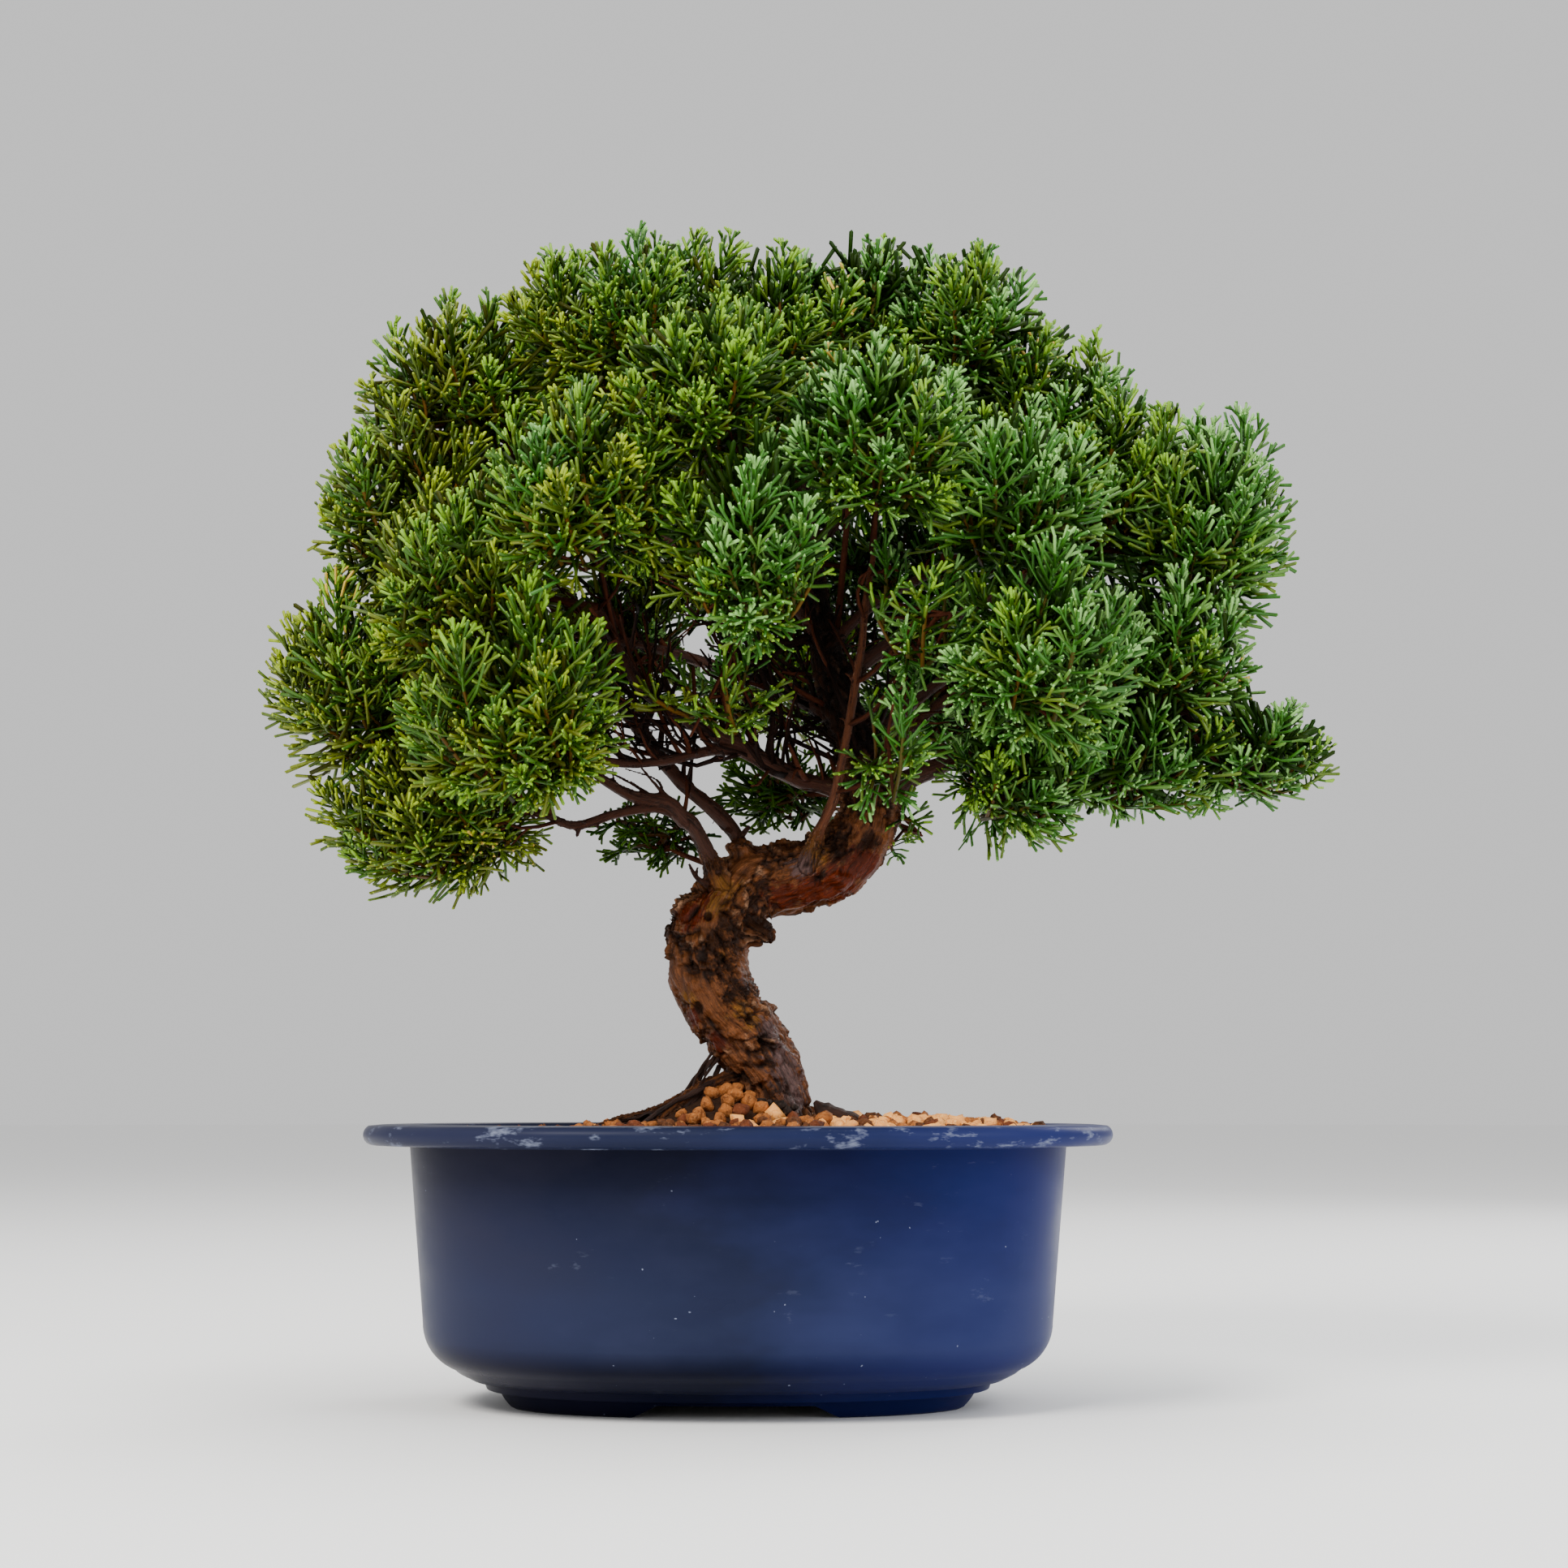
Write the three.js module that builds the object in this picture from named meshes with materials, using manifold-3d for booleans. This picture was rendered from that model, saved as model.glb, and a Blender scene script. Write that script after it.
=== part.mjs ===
// Kishu juniper bonsai in a blue oval plastic pot. Millimetres, +Z up, the viewer stands on the -Y side.
// The origin is under the middle of the whole plant, on the surface that the pot stands on.
import * as THREE from "three";
import { mergeVertices } from "three/addons/utils/BufferGeometryUtils.js";
import Module from "manifold-3d";

const wasm = await Module();
wasm.setup();

// Driving dimensions
const CLEAR = 0.3; // gap between neighbouring solids
const POT_FROM_ORIGIN = [-18.6, -2.2]; // the leaning crown puts the pot left of the plant's middle
const POT = {
  length: 220, // over the rolled lip
  height: 81,
  narrower: 28, // the half depth is this much less than the half length
  straightFrom: 66, // half length from which the depth follows the length
  wall: 2.6,
  lipThickness: 6,
  bodyTop: 96.5, // half length of the body under the lip
  footHalf: 68,
  footHeight: 3.6,
  floor: 8.6, // underside of the floor, inside the foot ring
  handle: 0.64, // Bezier handle of the plan's quarter: 0.552 is an ellipse, more is squarer
  sides: 28,
};
const FOOT_GAP = { halfLength: 22, halfDepth: 9, slope: 9 }; // the clear span between two feet
const DRAIN = { radius: 7, fromMiddle: 34 };
const GROUND = 81; // the flat cut under the trunk
const SOIL = { edge: 78.4, level: 80.2, tilt: 0.03, dome: 2.6, domeRadius: 34 };
const MOUND = { at: [-5, -9], height: 8.5, radius: 13, tail: 3.2, tailAt: -24, tailRadius: 19 };
const STONES = 8;
const STONE_RADIUS = [2.6, 4.2];
const CORE_SHARE = 0.79; // the dense heart of a mass, as a share of its reach
const SPACE_MARGIN = 0.05; // kept free beside the next mass, as a share of the reach
const SPRAY_WIDTH = 1.05; // of a spray's length
const SPRAY_THICK = 0.09;
const LIMB_ROOM = 1.2; // a spray keeps this far from every limb
const FORK_STEP = 0.14; // masses on one limb leave it this share of its length apart

const COLOURS = {
  pot: [0x1f2f5e, 0.42],
  soil: [0xa8703c, 0.95],
  bark: [0x5a3020, 0.85],
  bough: [0x4a2b20, 0.88],
  foliage: [0x3f6b22, 0.7],
};

// A repeatable stream of numbers from 0 to 1.
function seeded(seed) {
  let state = seed % 2147483647;
  return () => {
    state = (state * 16807) % 2147483647;
    return state / 2147483647;
  };
}

const vector = (p) => new THREE.Vector3(...p);
const curveOf = (route) => new THREE.CatmullRomCurve3(route.map((row) => vector(row.slice(0, 3))));

// A closed mesh as a solid.
function solidOf(geometry) {
  const bare = geometry.index ? geometry.toNonIndexed() : geometry.clone();
  bare.deleteAttribute("normal");
  bare.deleteAttribute("uv");
  const merged = mergeVertices(bare, 1e-4);
  return new wasm.Manifold(
    new wasm.Mesh({
      numProp: 3,
      vertProperties: new Float32Array(merged.attributes.position.array),
      triVerts: new Uint32Array(merged.index.array),
    }),
  );
}

// The largest closed body of a solid: loose scraps and sealed hollows go.
function largest(solid) {
  return solid.decompose().reduce((a, b) => (b.volume() > a.volume() ? b : a));
}

function geometryOf(solid) {
  const mesh = solid.getMesh();
  const step = mesh.numProp;
  const places = new Float32Array(mesh.numVert * 3);
  for (let i = 0; i < mesh.numVert; i++) {
    places.set(mesh.vertProperties.subarray(i * step, i * step + 3), i * 3);
  }
  const geometry = new THREE.BufferGeometry();
  geometry.setAttribute("position", new THREE.BufferAttribute(places, 3));
  geometry.setIndex(new THREE.BufferAttribute(new Uint32Array(mesh.triVerts), 1));
  geometry.computeVertexNormals();
  return geometry;
}

function finish(colour) {
  const [hex, roughness] = COLOURS[colour];
  return new THREE.MeshStandardMaterial({ color: hex, roughness, metalness: 0, flatShading: true });
}

function named(name, solid, colour) {
  const mesh = new THREE.Mesh(geometryOf(largest(solid)), finish(colour));
  mesh.name = name;
  return mesh;
}

// Moves each vertex of a geometry by a function of its place.
function reshape(geometry, change) {
  const places = geometry.attributes.position;
  const p = new THREE.Vector3();
  for (let i = 0; i < places.count; i++) {
    p.fromBufferAttribute(places, i);
    const moved = change(p);
    places.setXYZ(i, moved.x, moved.y, moved.z);
  }
  return geometry;
}

// A tapering limb: a cylinder bent along a smooth curve, with rings that swell by a function of place.
function limb(route, { sides = 6, steps = 8, extra = 0, swell = () => 1, reachOn = 0 } = {}) {
  const curve = curveOf(route);
  const frames = curve.computeFrenetFrames(steps, false);
  const shape = new THREE.CylinderGeometry(1, 1, 1, sides, steps);
  const last = route.length - 1;
  const bent = reshape(shape, (p) => {
    const ring = Math.round((p.y + 0.5) * steps);
    const share = ring / steps;
    const centre = curve.getPointAt(share);
    if (ring === steps) centre.addScaledVector(frames.tangents[ring], reachOn);
    if (ring === 0) centre.addScaledVector(frames.tangents[ring], -reachOn);
    const place = curve.getUtoTmapping(share) * last;
    const from = Math.min(Math.floor(place), last - 1);
    const radius = THREE.MathUtils.lerp(route[from][3], route[from + 1][3], place - from);
    const angle = Math.atan2(p.z, p.x);
    const out = Math.hypot(p.x, p.z) * (radius * swell(share, angle) + extra);
    return centre
      .addScaledVector(frames.normals[ring], out * Math.cos(angle))
      .addScaledVector(frames.binormals[ring], -out * Math.sin(angle));
  });
  const solid = solidOf(bent);
  return solid.volume() > 0 ? solid : solidOf(flipped(bent));
}

// The same closed mesh with its faces turned round.
function flipped(geometry) {
  const loose = geometry.toNonIndexed();
  const places = loose.attributes.position;
  const turned = new Float32Array(places.count * 3);
  for (let i = 0; i < places.count; i += 3) {
    [i, i + 2, i + 1].forEach((from, k) => {
      turned.set([places.getX(from), places.getY(from), places.getZ(from)], (i + k) * 3);
    });
  }
  return new THREE.BufferGeometry().setAttribute("position", new THREE.BufferAttribute(turned, 3));
}

// Pot

// The plan's outline at an angle: a quarter of an oval drawn by one Bezier curve, of half sizes 1 and 1.
function oval(angle) {
  const quarter = Math.floor(angle / (Math.PI / 2));
  const t = angle / (Math.PI / 2) - quarter;
  const s = 1 - t;
  const k = POT.handle;
  const along = s * s * s + 3 * s * s * t + 3 * s * t * t * k;
  const across = 3 * s * s * t * k + 3 * s * t * t + t * t * t;
  const turns = [
    [along, across],
    [-across, along],
    [-along, -across],
    [across, -along],
  ];
  return turns[quarter % 4];
}

// The half depth that belongs to a half length of the pot.
function halfDepth(halfLength) {
  return halfLength - POT.narrower * Math.min(1, halfLength / POT.straightFrom);
}

// A profile of [half length, height] turned round the oval plan.
function ovalLathe(profile) {
  const segments = POT.sides;
  const shape = new THREE.LatheGeometry(profile.map(([r, z]) => new THREE.Vector2(r, z)), segments);
  const turned = reshape(shape, (p) => {
    const reach = Math.hypot(p.x, p.z);
    if (reach < 1e-6) return new THREE.Vector3(0, 0, p.y);
    const step = Math.round((Math.atan2(p.z, p.x) / (2 * Math.PI)) * segments);
    const [x, y] = oval((((step + segments) % segments) / segments) * 2 * Math.PI);
    return new THREE.Vector3(reach * x, halfDepth(reach) * y, p.y);
  });
  const solid = solidOf(turned);
  return solid.volume() > 0 ? solid : solidOf(flipped(turned));
}

// Points of an arc, for the profile's round stretches.
function arc([cx, cz], radius, from, to, count) {
  return Array.from({ length: count + 1 }, (_, i) => {
    const a = THREE.MathUtils.degToRad(from + ((to - from) * i) / count);
    return [cx + radius * Math.cos(a), cz + radius * Math.sin(a)];
  });
}

const LIP = { radius: POT.lipThickness / 2, low: POT.height - POT.lipThickness };
const BELLY = { radius: 14, from: 78, z: 24 }; // the rounding between wall and underside

function innerProfile(inset) {
  const wall = POT.wall + inset;
  return [
    ...arc([BELLY.from, BELLY.z], BELLY.radius - wall, -90, 0, 3),
    [POT.bodyTop - wall, LIP.low],
  ];
}

function makePot() {
  const edge = POT.length / 2 - LIP.radius;
  const middle = LIP.low + LIP.radius;
  const profile = [
    [0, POT.floor],
    [POT.footHalf - 7, POT.floor],
    [POT.footHalf - 5, 0],
    [POT.footHalf, 0],
    [POT.footHalf + 2, POT.footHeight + 1],
    [POT.footHalf + 9, 6.8],
    ...arc([BELLY.from, BELLY.z], BELLY.radius, -72, 0, 4),
    [POT.bodyTop, LIP.low],
    ...arc([edge, middle], LIP.radius, -90, 90, 4),
    [POT.bodyTop - POT.wall + 1, POT.height],
    [POT.bodyTop - POT.wall, POT.height - 1],
    ...innerProfile(0).reverse(),
    [0, BELLY.z - BELLY.radius + POT.wall],
  ];
  let pot = ovalLathe(profile);
  // The spans between the feet: sloping notches through the foot ring on all four sides.
  const half = POT.footHalf + 12;
  const notch = (clear) => {
    const outline = new THREE.Shape([
      new THREE.Vector2(-clear - FOOT_GAP.slope, -1),
      new THREE.Vector2(clear + FOOT_GAP.slope, -1),
      new THREE.Vector2(clear, POT.footHeight),
      new THREE.Vector2(-clear, POT.footHeight),
    ]);
    return new THREE.ExtrudeGeometry(outline, { depth: 2 * half, bevelEnabled: false });
  };
  const across = notch(FOOT_GAP.halfLength).translate(0, 0, -half).rotateX(Math.PI / 2);
  const along = notch(FOOT_GAP.halfDepth)
    .translate(0, 0, -half)
    .rotateX(Math.PI / 2)
    .rotateZ(Math.PI / 2);
  pot = pot.subtract(solidOf(across)).subtract(solidOf(along));
  for (const side of [-1, 1]) {
    const hole = new THREE.CylinderGeometry(DRAIN.radius, DRAIN.radius, 12, 16)
      .rotateX(Math.PI / 2)
      .translate(side * DRAIN.fromMiddle, 0, POT.floor);
    pot = pot.subtract(solidOf(hole));
  }
  return pot;
}

// Soil

const bell = (d, radius) => Math.exp(-(d * d) / (radius * radius));

function soilTop(x, y) {
  const fromTrunk = Math.hypot(x - TRUNK_ROUTE[0][0], y - TRUNK_ROUTE[0][1]);
  const [mx, my] = MOUND.at;
  return (
    SOIL.level +
    SOIL.tilt * x +
    SOIL.dome * bell(fromTrunk, SOIL.domeRadius) +
    MOUND.height * bell(Math.hypot(x - mx, y - my), MOUND.radius) +
    MOUND.tail * bell(Math.hypot(x - MOUND.tailAt, y - my), MOUND.tailRadius)
  );
}

function makeSoil(trunkSocket) {
  const floor = BELLY.z - BELLY.radius + POT.wall + CLEAR;
  const rim = POT.bodyTop - POT.wall - CLEAR;
  const rings = [1, 0.86, 0.64, 0.44, 0.26];
  const profile = [
    [0, floor],
    ...innerProfile(CLEAR).map(([r, z]) => [r, Math.min(z, SOIL.edge - 1.5)]),
    ...rings.map((share) => [rim * share, SOIL.edge]),
    [0, SOIL.edge],
  ];
  const bump = seeded(41);
  const heights = new Map();
  const slab = ovalLathe(profile);
  const raised = reshape(geometryOf(slab), (p) => {
    const place = p.x.toFixed(3) + "," + p.y.toFixed(3);
    if (p.z < SOIL.edge - 0.01) return p;
    if (!heights.has(place)) heights.set(place, (bump() - 0.5) * 1.1);
    const inside = 1 - Math.hypot(p.x / rim, p.y / halfDepth(rim)) ** 8;
    const top = Math.max(SOIL.edge, soilTop(p.x, p.y) + heights.get(place));
    return new THREE.Vector3(p.x, p.y, THREE.MathUtils.lerp(SOIL.edge, top, Math.max(0, inside)));
  });
  let soil = solidOf(raised);
  const draw = seeded(77);
  for (let i = 0; i < STONES; i++) {
    // Two stones in three lie on the mound and in front of the trunk, and the rest all over.
    const near = i % 3 !== 0;
    const angle = draw() * 2 * Math.PI;
    const out = Math.sqrt(draw());
    const x = near ? MOUND.at[0] + 24 * out * Math.cos(angle) : 84 * out * Math.cos(angle);
    const y = near ? MOUND.at[1] + 16 * out * Math.sin(angle) : 54 * out * Math.sin(angle);
    const size = THREE.MathUtils.lerp(STONE_RADIUS[0], STONE_RADIUS[1], draw());
    const stone = new THREE.IcosahedronGeometry(size, 0)
      .scale(1, 0.8 + 0.3 * draw(), 0.7)
      .rotateZ(draw() * Math.PI)
      .translate(x, y, soilTop(x, y) + size * 0.18);
    soil = soil.add(solidOf(stone));
  }
  return soil.subtract(trunkSocket);
}

// Limbs: each row of a route is x, y, z and the limb's radius there.

const TRUNK_ROUTE = [
  [11, 0, GROUND, 12],
  [9, -1, 93, 11],
  [2, -2, 106, 11.6],
  [-5.5, -3, 117, 11.6],
  [-9, -3, 128, 12.2],
  [-9, -2, 139, 12.4],
  [-4, 0, 147.5, 12.2],
  [5, 2, 153, 11.4],
  [17, 2, 155, 11.4],
  [28, 0, 158.4, 11.3],
  [36.5, -2, 166, 10],
  [40, -2, 176, 9],
  [38, 0, 187, 8.2],
  [33, 3, 200, 7],
  [28, 5, 215, 5.8],
  [24, 4, 234, 4.4],
  [21, 2, 259, 3.2],
  [18, 0, 281, 2.2],
];

// Roots that leave the trunk's foot above the soil and run down into it.
const ROOTS = [
  [[3, -3, 103, 2.2], [-9, -6, 98.5, 1.3], [-13.5, -8, 92, 1.2], [-24, -10, 85.5, 1.1], [-36, -12, 82.5, 0.9], [-42, -13, 80, 0.9]],
  [[3, -5, 95, 3.4], [-8, -9, 93, 2], [-16, -12, 88, 1.7], [-26, -15, 79, 1.4]],
  [[10, -6, 91, 4.5], [14, -11, 85, 3.4], [18, -15, 78, 2.2]],
  [[12, 4, 90, 4], [20, 8, 84, 2.8], [33, 10, 79, 2.4]],
  [[7, 5, 93, 4.5], [0, 12, 85, 3.2], [-7, 18, 77, 2.2]],
];
// Knobs of healed wood on the trunk: place and radii.
const KNOBS = [
  [[6.4, -3, 138], [5.2, 5, 5]],
  [[-19, -4, 133], [3, 4, 5]],
];

// The scar ridges that run round and up the trunk.
function trunkSwell(share, angle) {
  const flare = 0.16 * bell(share, 0.03) * Math.cos(5 * angle + 1);
  return 1 + flare + 0.045 * Math.sin(3 * angle + 26 * share) + 0.03 * Math.sin(5 * angle - 41 * share);
}

function makeTrunk(extra) {
  const options = { sides: 9, steps: 27, extra, swell: trunkSwell, reachOn: extra };
  let trunk = limb(TRUNK_ROUTE, options);
  for (const root of ROOTS) {
    trunk = trunk.add(limb(root, { sides: 4, steps: 4, extra, reachOn: extra }));
  }
  for (const [[x, y, z], radii] of KNOBS) {
    const [rx, ry, rz] = radii.map((r) => r + extra);
    const knob = new THREE.IcosahedronGeometry(1, 0).scale(rx, ry, rz).translate(x, y, z);
    trunk = trunk.add(solidOf(knob));
  }
  // The flat cut at the ground.
  const below = new THREE.BoxGeometry(200, 200, 60).translate(0, 0, GROUND - extra - 30);
  return trunk.subtract(solidOf(below));
}

const BOUGHS = {
  left_low_bough: [
    [-4, -5, 149, 4],
    [-10, -8, 162, 3.1],
    [-15, -10, 172, 2.9],
    [-25, -12, 177, 2.6],
    [-36, -16, 174, 2],
    [-48, -16, 169, 1.7],
    [-58, -13, 172, 1.5],
    [-66, -9, 175, 1.3],
  ],
  left_bough: [
    [1, 2, 153, 4],
    [0, 3, 166, 2.9],
    [-4, 4, 173, 3],
    [-13, 6, 182, 2.8],
    [-21, 8, 191, 2.8],
    [-27, 9, 199, 2.7],
    [-36, 9, 209, 2.4],
    [-49, 8, 216, 2.1],
    [-64, 4, 222, 1.8],
    [-76, 0, 230, 1.5],
  ],
  left_high_bough: [
    [38, 2, 177, 4.4],
    [27, -2, 181, 3.4],
    [18, -4, 183, 3.2],
    [10, -6, 187, 3.4],
    [1, -8, 192, 3.6],
    [-9, -10, 197, 3.2],
    [-18, -13, 202, 2.8],
    [-28, -19, 208, 2.4],
    [-34, -30, 217, 2.1],
    [-40, -43, 228, 1.7],
  ],
  left_mid_bough: [
    [1, -8, 192, 2.2],
    [-8, -11, 191, 2],
    [-19, -14, 188, 1.9],
    [-31, -19, 186, 1.7],
    [-38, -27, 186, 1.5],
    [-44, -36, 188, 1.3],
  ],
  right_low_bough: [
    [40, 0, 177, 4.6],
    [52, -2, 184, 3.8],
    [64, -3, 189, 3.3],
    [79, -5, 195, 2.8],
    [94, -6, 200, 2.3],
    [112, -7, 204, 1.9],
    [128, -7, 204, 1.6],
    [143, -5, 199, 1.3],
  ],
  right_front_bough: [
    [39, -3, 183, 3.4],
    [48, -17, 194, 2.4],
    [57, -29, 201, 2],
    [66, -41, 206, 1.6],
  ],
  front_leader: [
    [21, -6, 157, 3],
    [23.5, -12, 166, 2.2],
    [28, -17, 176, 1.9],
    [30, -20, 185, 1.8],
    [32, -23, 195, 1.7],
    [34, -26, 207, 1.6],
    [36, -30, 219, 1.5],
    [37, -37, 231, 1.4],
    [39, -48, 243, 1.2],
  ],
  centre_front_bough: [
    [25, 3, 225, 2.4],
    [18, -18, 231, 2],
    [11, -38, 234, 1.7],
    [7, -55, 236, 1.3],
  ],
  top_left_bough: [
    [22, 3, 249, 2.4],
    [9, 2, 265, 2],
    [-6, 6, 281, 1.7],
    [-20, 12, 295, 1.4],
  ],
  top_right_bough: [
    [22, 3, 253, 2.4],
    [33, 4, 269, 2],
    [44, 8, 284, 1.7],
    [53, 13, 297, 1.4],
  ],
  right_high_bough: [
    [28, 5, 212, 3.6],
    [44, 8, 225, 3],
    [67, 9, 236, 2.6],
    [91, 7, 248, 2.1],
    [113, 4, 257, 1.7],
    [126, 1, 262, 1.4],
  ],
  left_upper_bough: [
    [25, 4, 233, 2.8],
    [4, 5, 244, 2.4],
    [-20, 5, 256, 2.1],
    [-48, 3, 269, 1.7],
    [-70, 0, 279, 1.3],
  ],
  back_left_bough: [
    [34, 3, 199, 3.4],
    [17, 18, 211, 2.8],
    [-6, 34, 223, 2.4],
    [-35, 46, 233, 2],
    [-59, 50, 238, 1.5],
  ],
  back_right_bough: [
    [37, 2, 193, 3.4],
    [49, 16, 206, 2.7],
    [66, 30, 221, 2.2],
    [86, 42, 239, 1.6],
  ],
  back_bough: [
    [25, 4, 231, 2.6],
    [23, 26, 249, 2.1],
    [21, 48, 263, 1.6],
  ],
  right_mid_bough: [
    [26, 4, 223, 2.6],
    [37, -14, 232, 2.1],
    [49, -29, 237, 1.8],
    [61, -40, 241, 1.4],
  ],
};

// Masses of foliage: the middle of each, how far it reaches from there along X, Y and Z, and the limb that carries it.
// A stem that leaves the trunk has its own starting place.
const MASSES = {
  top_left: { at: [-32, -5, 326], reach: [35, 32, 27], from: "top_left_bough" },
  top_middle: { at: [10, -14, 318], reach: [23, 30, 25], from: "trunk" },
  top_right: { at: [69, -6, 323], reach: [25, 32, 26], from: "top_right_bough" },
  left_upper: { at: [-87, 0, 304], reach: [26, 30, 28], from: "left_upper_bough" },
  left_shoulder: { at: [-106, -5, 266], reach: [27, 32, 31], from: "left_upper_bough" },
  left_outer: { at: [-114, -8, 215], reach: [26, 34, 33], from: "left_bough" },
  left_under: { at: [-92, -5, 171], reach: [35, 34, 26], from: "left_low_bough" },
  left_front_low: { at: [-61, -60, 198], reach: [30, 31, 32], from: "left_mid_bough" },
  left_front_middle: { at: [-78, -52, 237], reach: [25, 30, 26], from: "left_high_bough" },
  left_front_high: { at: [-42, -70, 260], reach: [26, 31, 30], from: "left_high_bough" },
  front_top: { at: [-6, -66, 288], reach: [27, 31, 27], from: "trunk" },
  front_centre: { at: [5, -83, 237], reach: [21, 25, 28], from: "centre_front_bough" },
  front_right_high: { at: [40, -72, 274], reach: [26, 30, 27], from: "front_leader" },
  front_right_middle: { at: [78, -56, 260], reach: [26, 31, 28], from: "right_mid_bough" },
  front_right_low: { at: [85, -64, 215], reach: [26, 31, 28], from: "right_front_bough" },
  right_high: { at: [141, 0, 261], reach: [26, 33, 34], from: "right_high_bough" },
  right_shoulder: { at: [108, 0, 280], reach: [25, 33, 26], from: "right_high_bough" },
  right_tip: { at: [158, -4, 192], reach: [22, 24, 16], from: "right_low_bough" },
  right_outer: { at: [136, -8, 219], reach: [26, 34, 26], from: "right_low_bough" },
  right_low: { at: [118, -8, 190], reach: [26, 31, 19], from: "right_low_bough" },
  right_under: { at: [78, -24, 182], reach: [24, 30, 20], from: "right_low_bough" },
  back_top_left: { at: [-55, 56, 312], reach: [33, 34, 31], from: "top_left_bough" },
  back_top_right: { at: [44, 58, 317], reach: [37, 34, 31], from: "top_right_bough" },
  back_left_middle: { at: [-92, 54, 264], reach: [32, 34, 32], from: "back_left_bough" },
  back_left_low: { at: [-84, 56, 212], reach: [33, 34, 29], from: "back_left_bough" },
  back_middle: { at: [-12, 82, 278], reach: [35, 28, 33], from: "back_bough" },
  back_right_middle: { at: [104, 54, 276], reach: [34, 34, 32], from: "back_right_bough" },
  back_right_low: { at: [114, 54, 223], reach: [34, 32, 30], from: "back_right_bough" },
  back_middle_right: { at: [52, 80, 265], reach: [32, 28, 34], from: "back_bough" },
  top_peak: { at: [38, -2, 332], reach: [18, 27, 24], from: "trunk" },
  right_upper: { at: [88, 4, 298], reach: [23, 29, 25], from: "top_right_bough" },
  back_inner_left: { at: [-40, 72, 240], reach: [27, 26, 25], from: "back_left_bough" },
  back_inner_middle: { at: [12, 78, 232], reach: [29, 26, 25], from: "back_bough" },
  back_inner_right: { at: [66, 74, 222], reach: [29, 27, 27], from: "back_right_bough" },
  centre_sprig: { at: [-6, -42, 206], reach: [19, 17, 17], from: "centre_front_bough", open: true },
  inner_sprig: { at: [52, -60, 225], reach: [18, 19, 20], from: "front_leader", open: true },
  front_sprig: { at: [42, -50, 187], reach: [15, 17, 25], stem: [39, -11, 169], open: true },
  foot_sprig: { at: [53, 2, 169], reach: [11, 14, 13], stem: [49, -1, 173], open: true },
  back_left_pad: { at: [-29, 30, 170], reach: [17, 18, 12], stem: [-8, 5, 158], open: true },
  back_middle_pad: { at: [13, 38, 185], reach: [23, 20, 14], stem: [38, 4, 180], open: true },
};

// How far a point lies from the middle of a mass, where 1 is the edge of its reach.
function shareOfReach({ at, reach }, p) {
  return Math.hypot((p.x - at[0]) / reach[0], (p.y - at[1]) / reach[1], (p.z - at[2]) / reach[2]);
}

// A mass keeps to the points that lie within its reach and nearer to it than to any other mass.
function inSpace(mass, p) {
  const own = shareOfReach(mass, p);
  if (own > 1) return false;
  return Object.values(MASSES).every(
    (other) => other === mass || shareOfReach(other, p) > own + SPACE_MARGIN,
  );
}

// Every limb as a row of balls, for the test that a spray stays clear of it.
const ROUTES = { trunk: TRUNK_ROUTE, ...BOUGHS };
const BALLS = Object.values(ROUTES).flatMap((route) => {
  const curve = curveOf(route);
  const last = route.length - 1;
  return Array.from({ length: last * 4 + 1 }, (_, i) => {
    const from = Math.min(Math.floor(i / 4), last - 1);
    const radius = THREE.MathUtils.lerp(route[from][3], route[from + 1][3], i / 4 - from);
    return { centre: curve.getPoint(i / (last * 4)), radius };
  });
});

function clearOfLimbs(p, room) {
  return BALLS.every(({ centre, radius }) => centre.distanceTo(p) > radius + room);
}

// Evenly spread directions, each a little disturbed.
function directions(count, draw) {
  const turn = Math.PI * (3 - Math.sqrt(5));
  return Array.from({ length: count }, (_, i) => {
    const up = 1 - (2 * i + 1) / count;
    const out = Math.sqrt(1 - up * up);
    const angle = i * turn;
    return new THREE.Vector3(
      out * Math.cos(angle) + (draw() - 0.5) * 0.3,
      out * Math.sin(angle) + (draw() - 0.5) * 0.3,
      up + (draw() - 0.5) * 0.3,
    ).normalize();
  });
}

const along = (mass, direction, share) =>
  vector(mass.at).add(vector(mass.reach).multiply(direction).multiplyScalar(share));

// A spray of scale needles: a thin blade with a tooth on each side, thickest at its middle.
const TEETH = [
  [0, 0],
  [0.66, 1],
  [0.76, 0.3],
  [1, -0.1],
  [0.7, -1],
];

function spray(root, tip, turn) {
  const axis = tip.clone().sub(root);
  const length = axis.length();
  axis.normalize();
  const side = new THREE.Vector3(Math.cos(turn), Math.sin(turn), 0.3).cross(axis).normalize();
  const face = axis.clone().cross(side);
  const width = (length * SPRAY_WIDTH) / 2;
  const outline = TEETH.map(([share, out]) =>
    root.clone().addScaledVector(axis, share * length).addScaledVector(side, out * width),
  );
  const middle = root.clone().addScaledVector(axis, 0.52 * length);
  const peaks = [1, -1].map((s) => middle.clone().addScaledVector(face, s * length * SPRAY_THICK));
  return { outline, peaks };
}

// The places at which a spray is tested: its teeth, its peaks and the middles of its edges.
function testPoints({ outline, peaks }) {
  const edges = outline.map((a, i) => a.clone().lerp(outline[(i + 1) % outline.length], 0.5));
  return [...outline.slice(1), ...peaks, ...edges];
}

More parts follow.
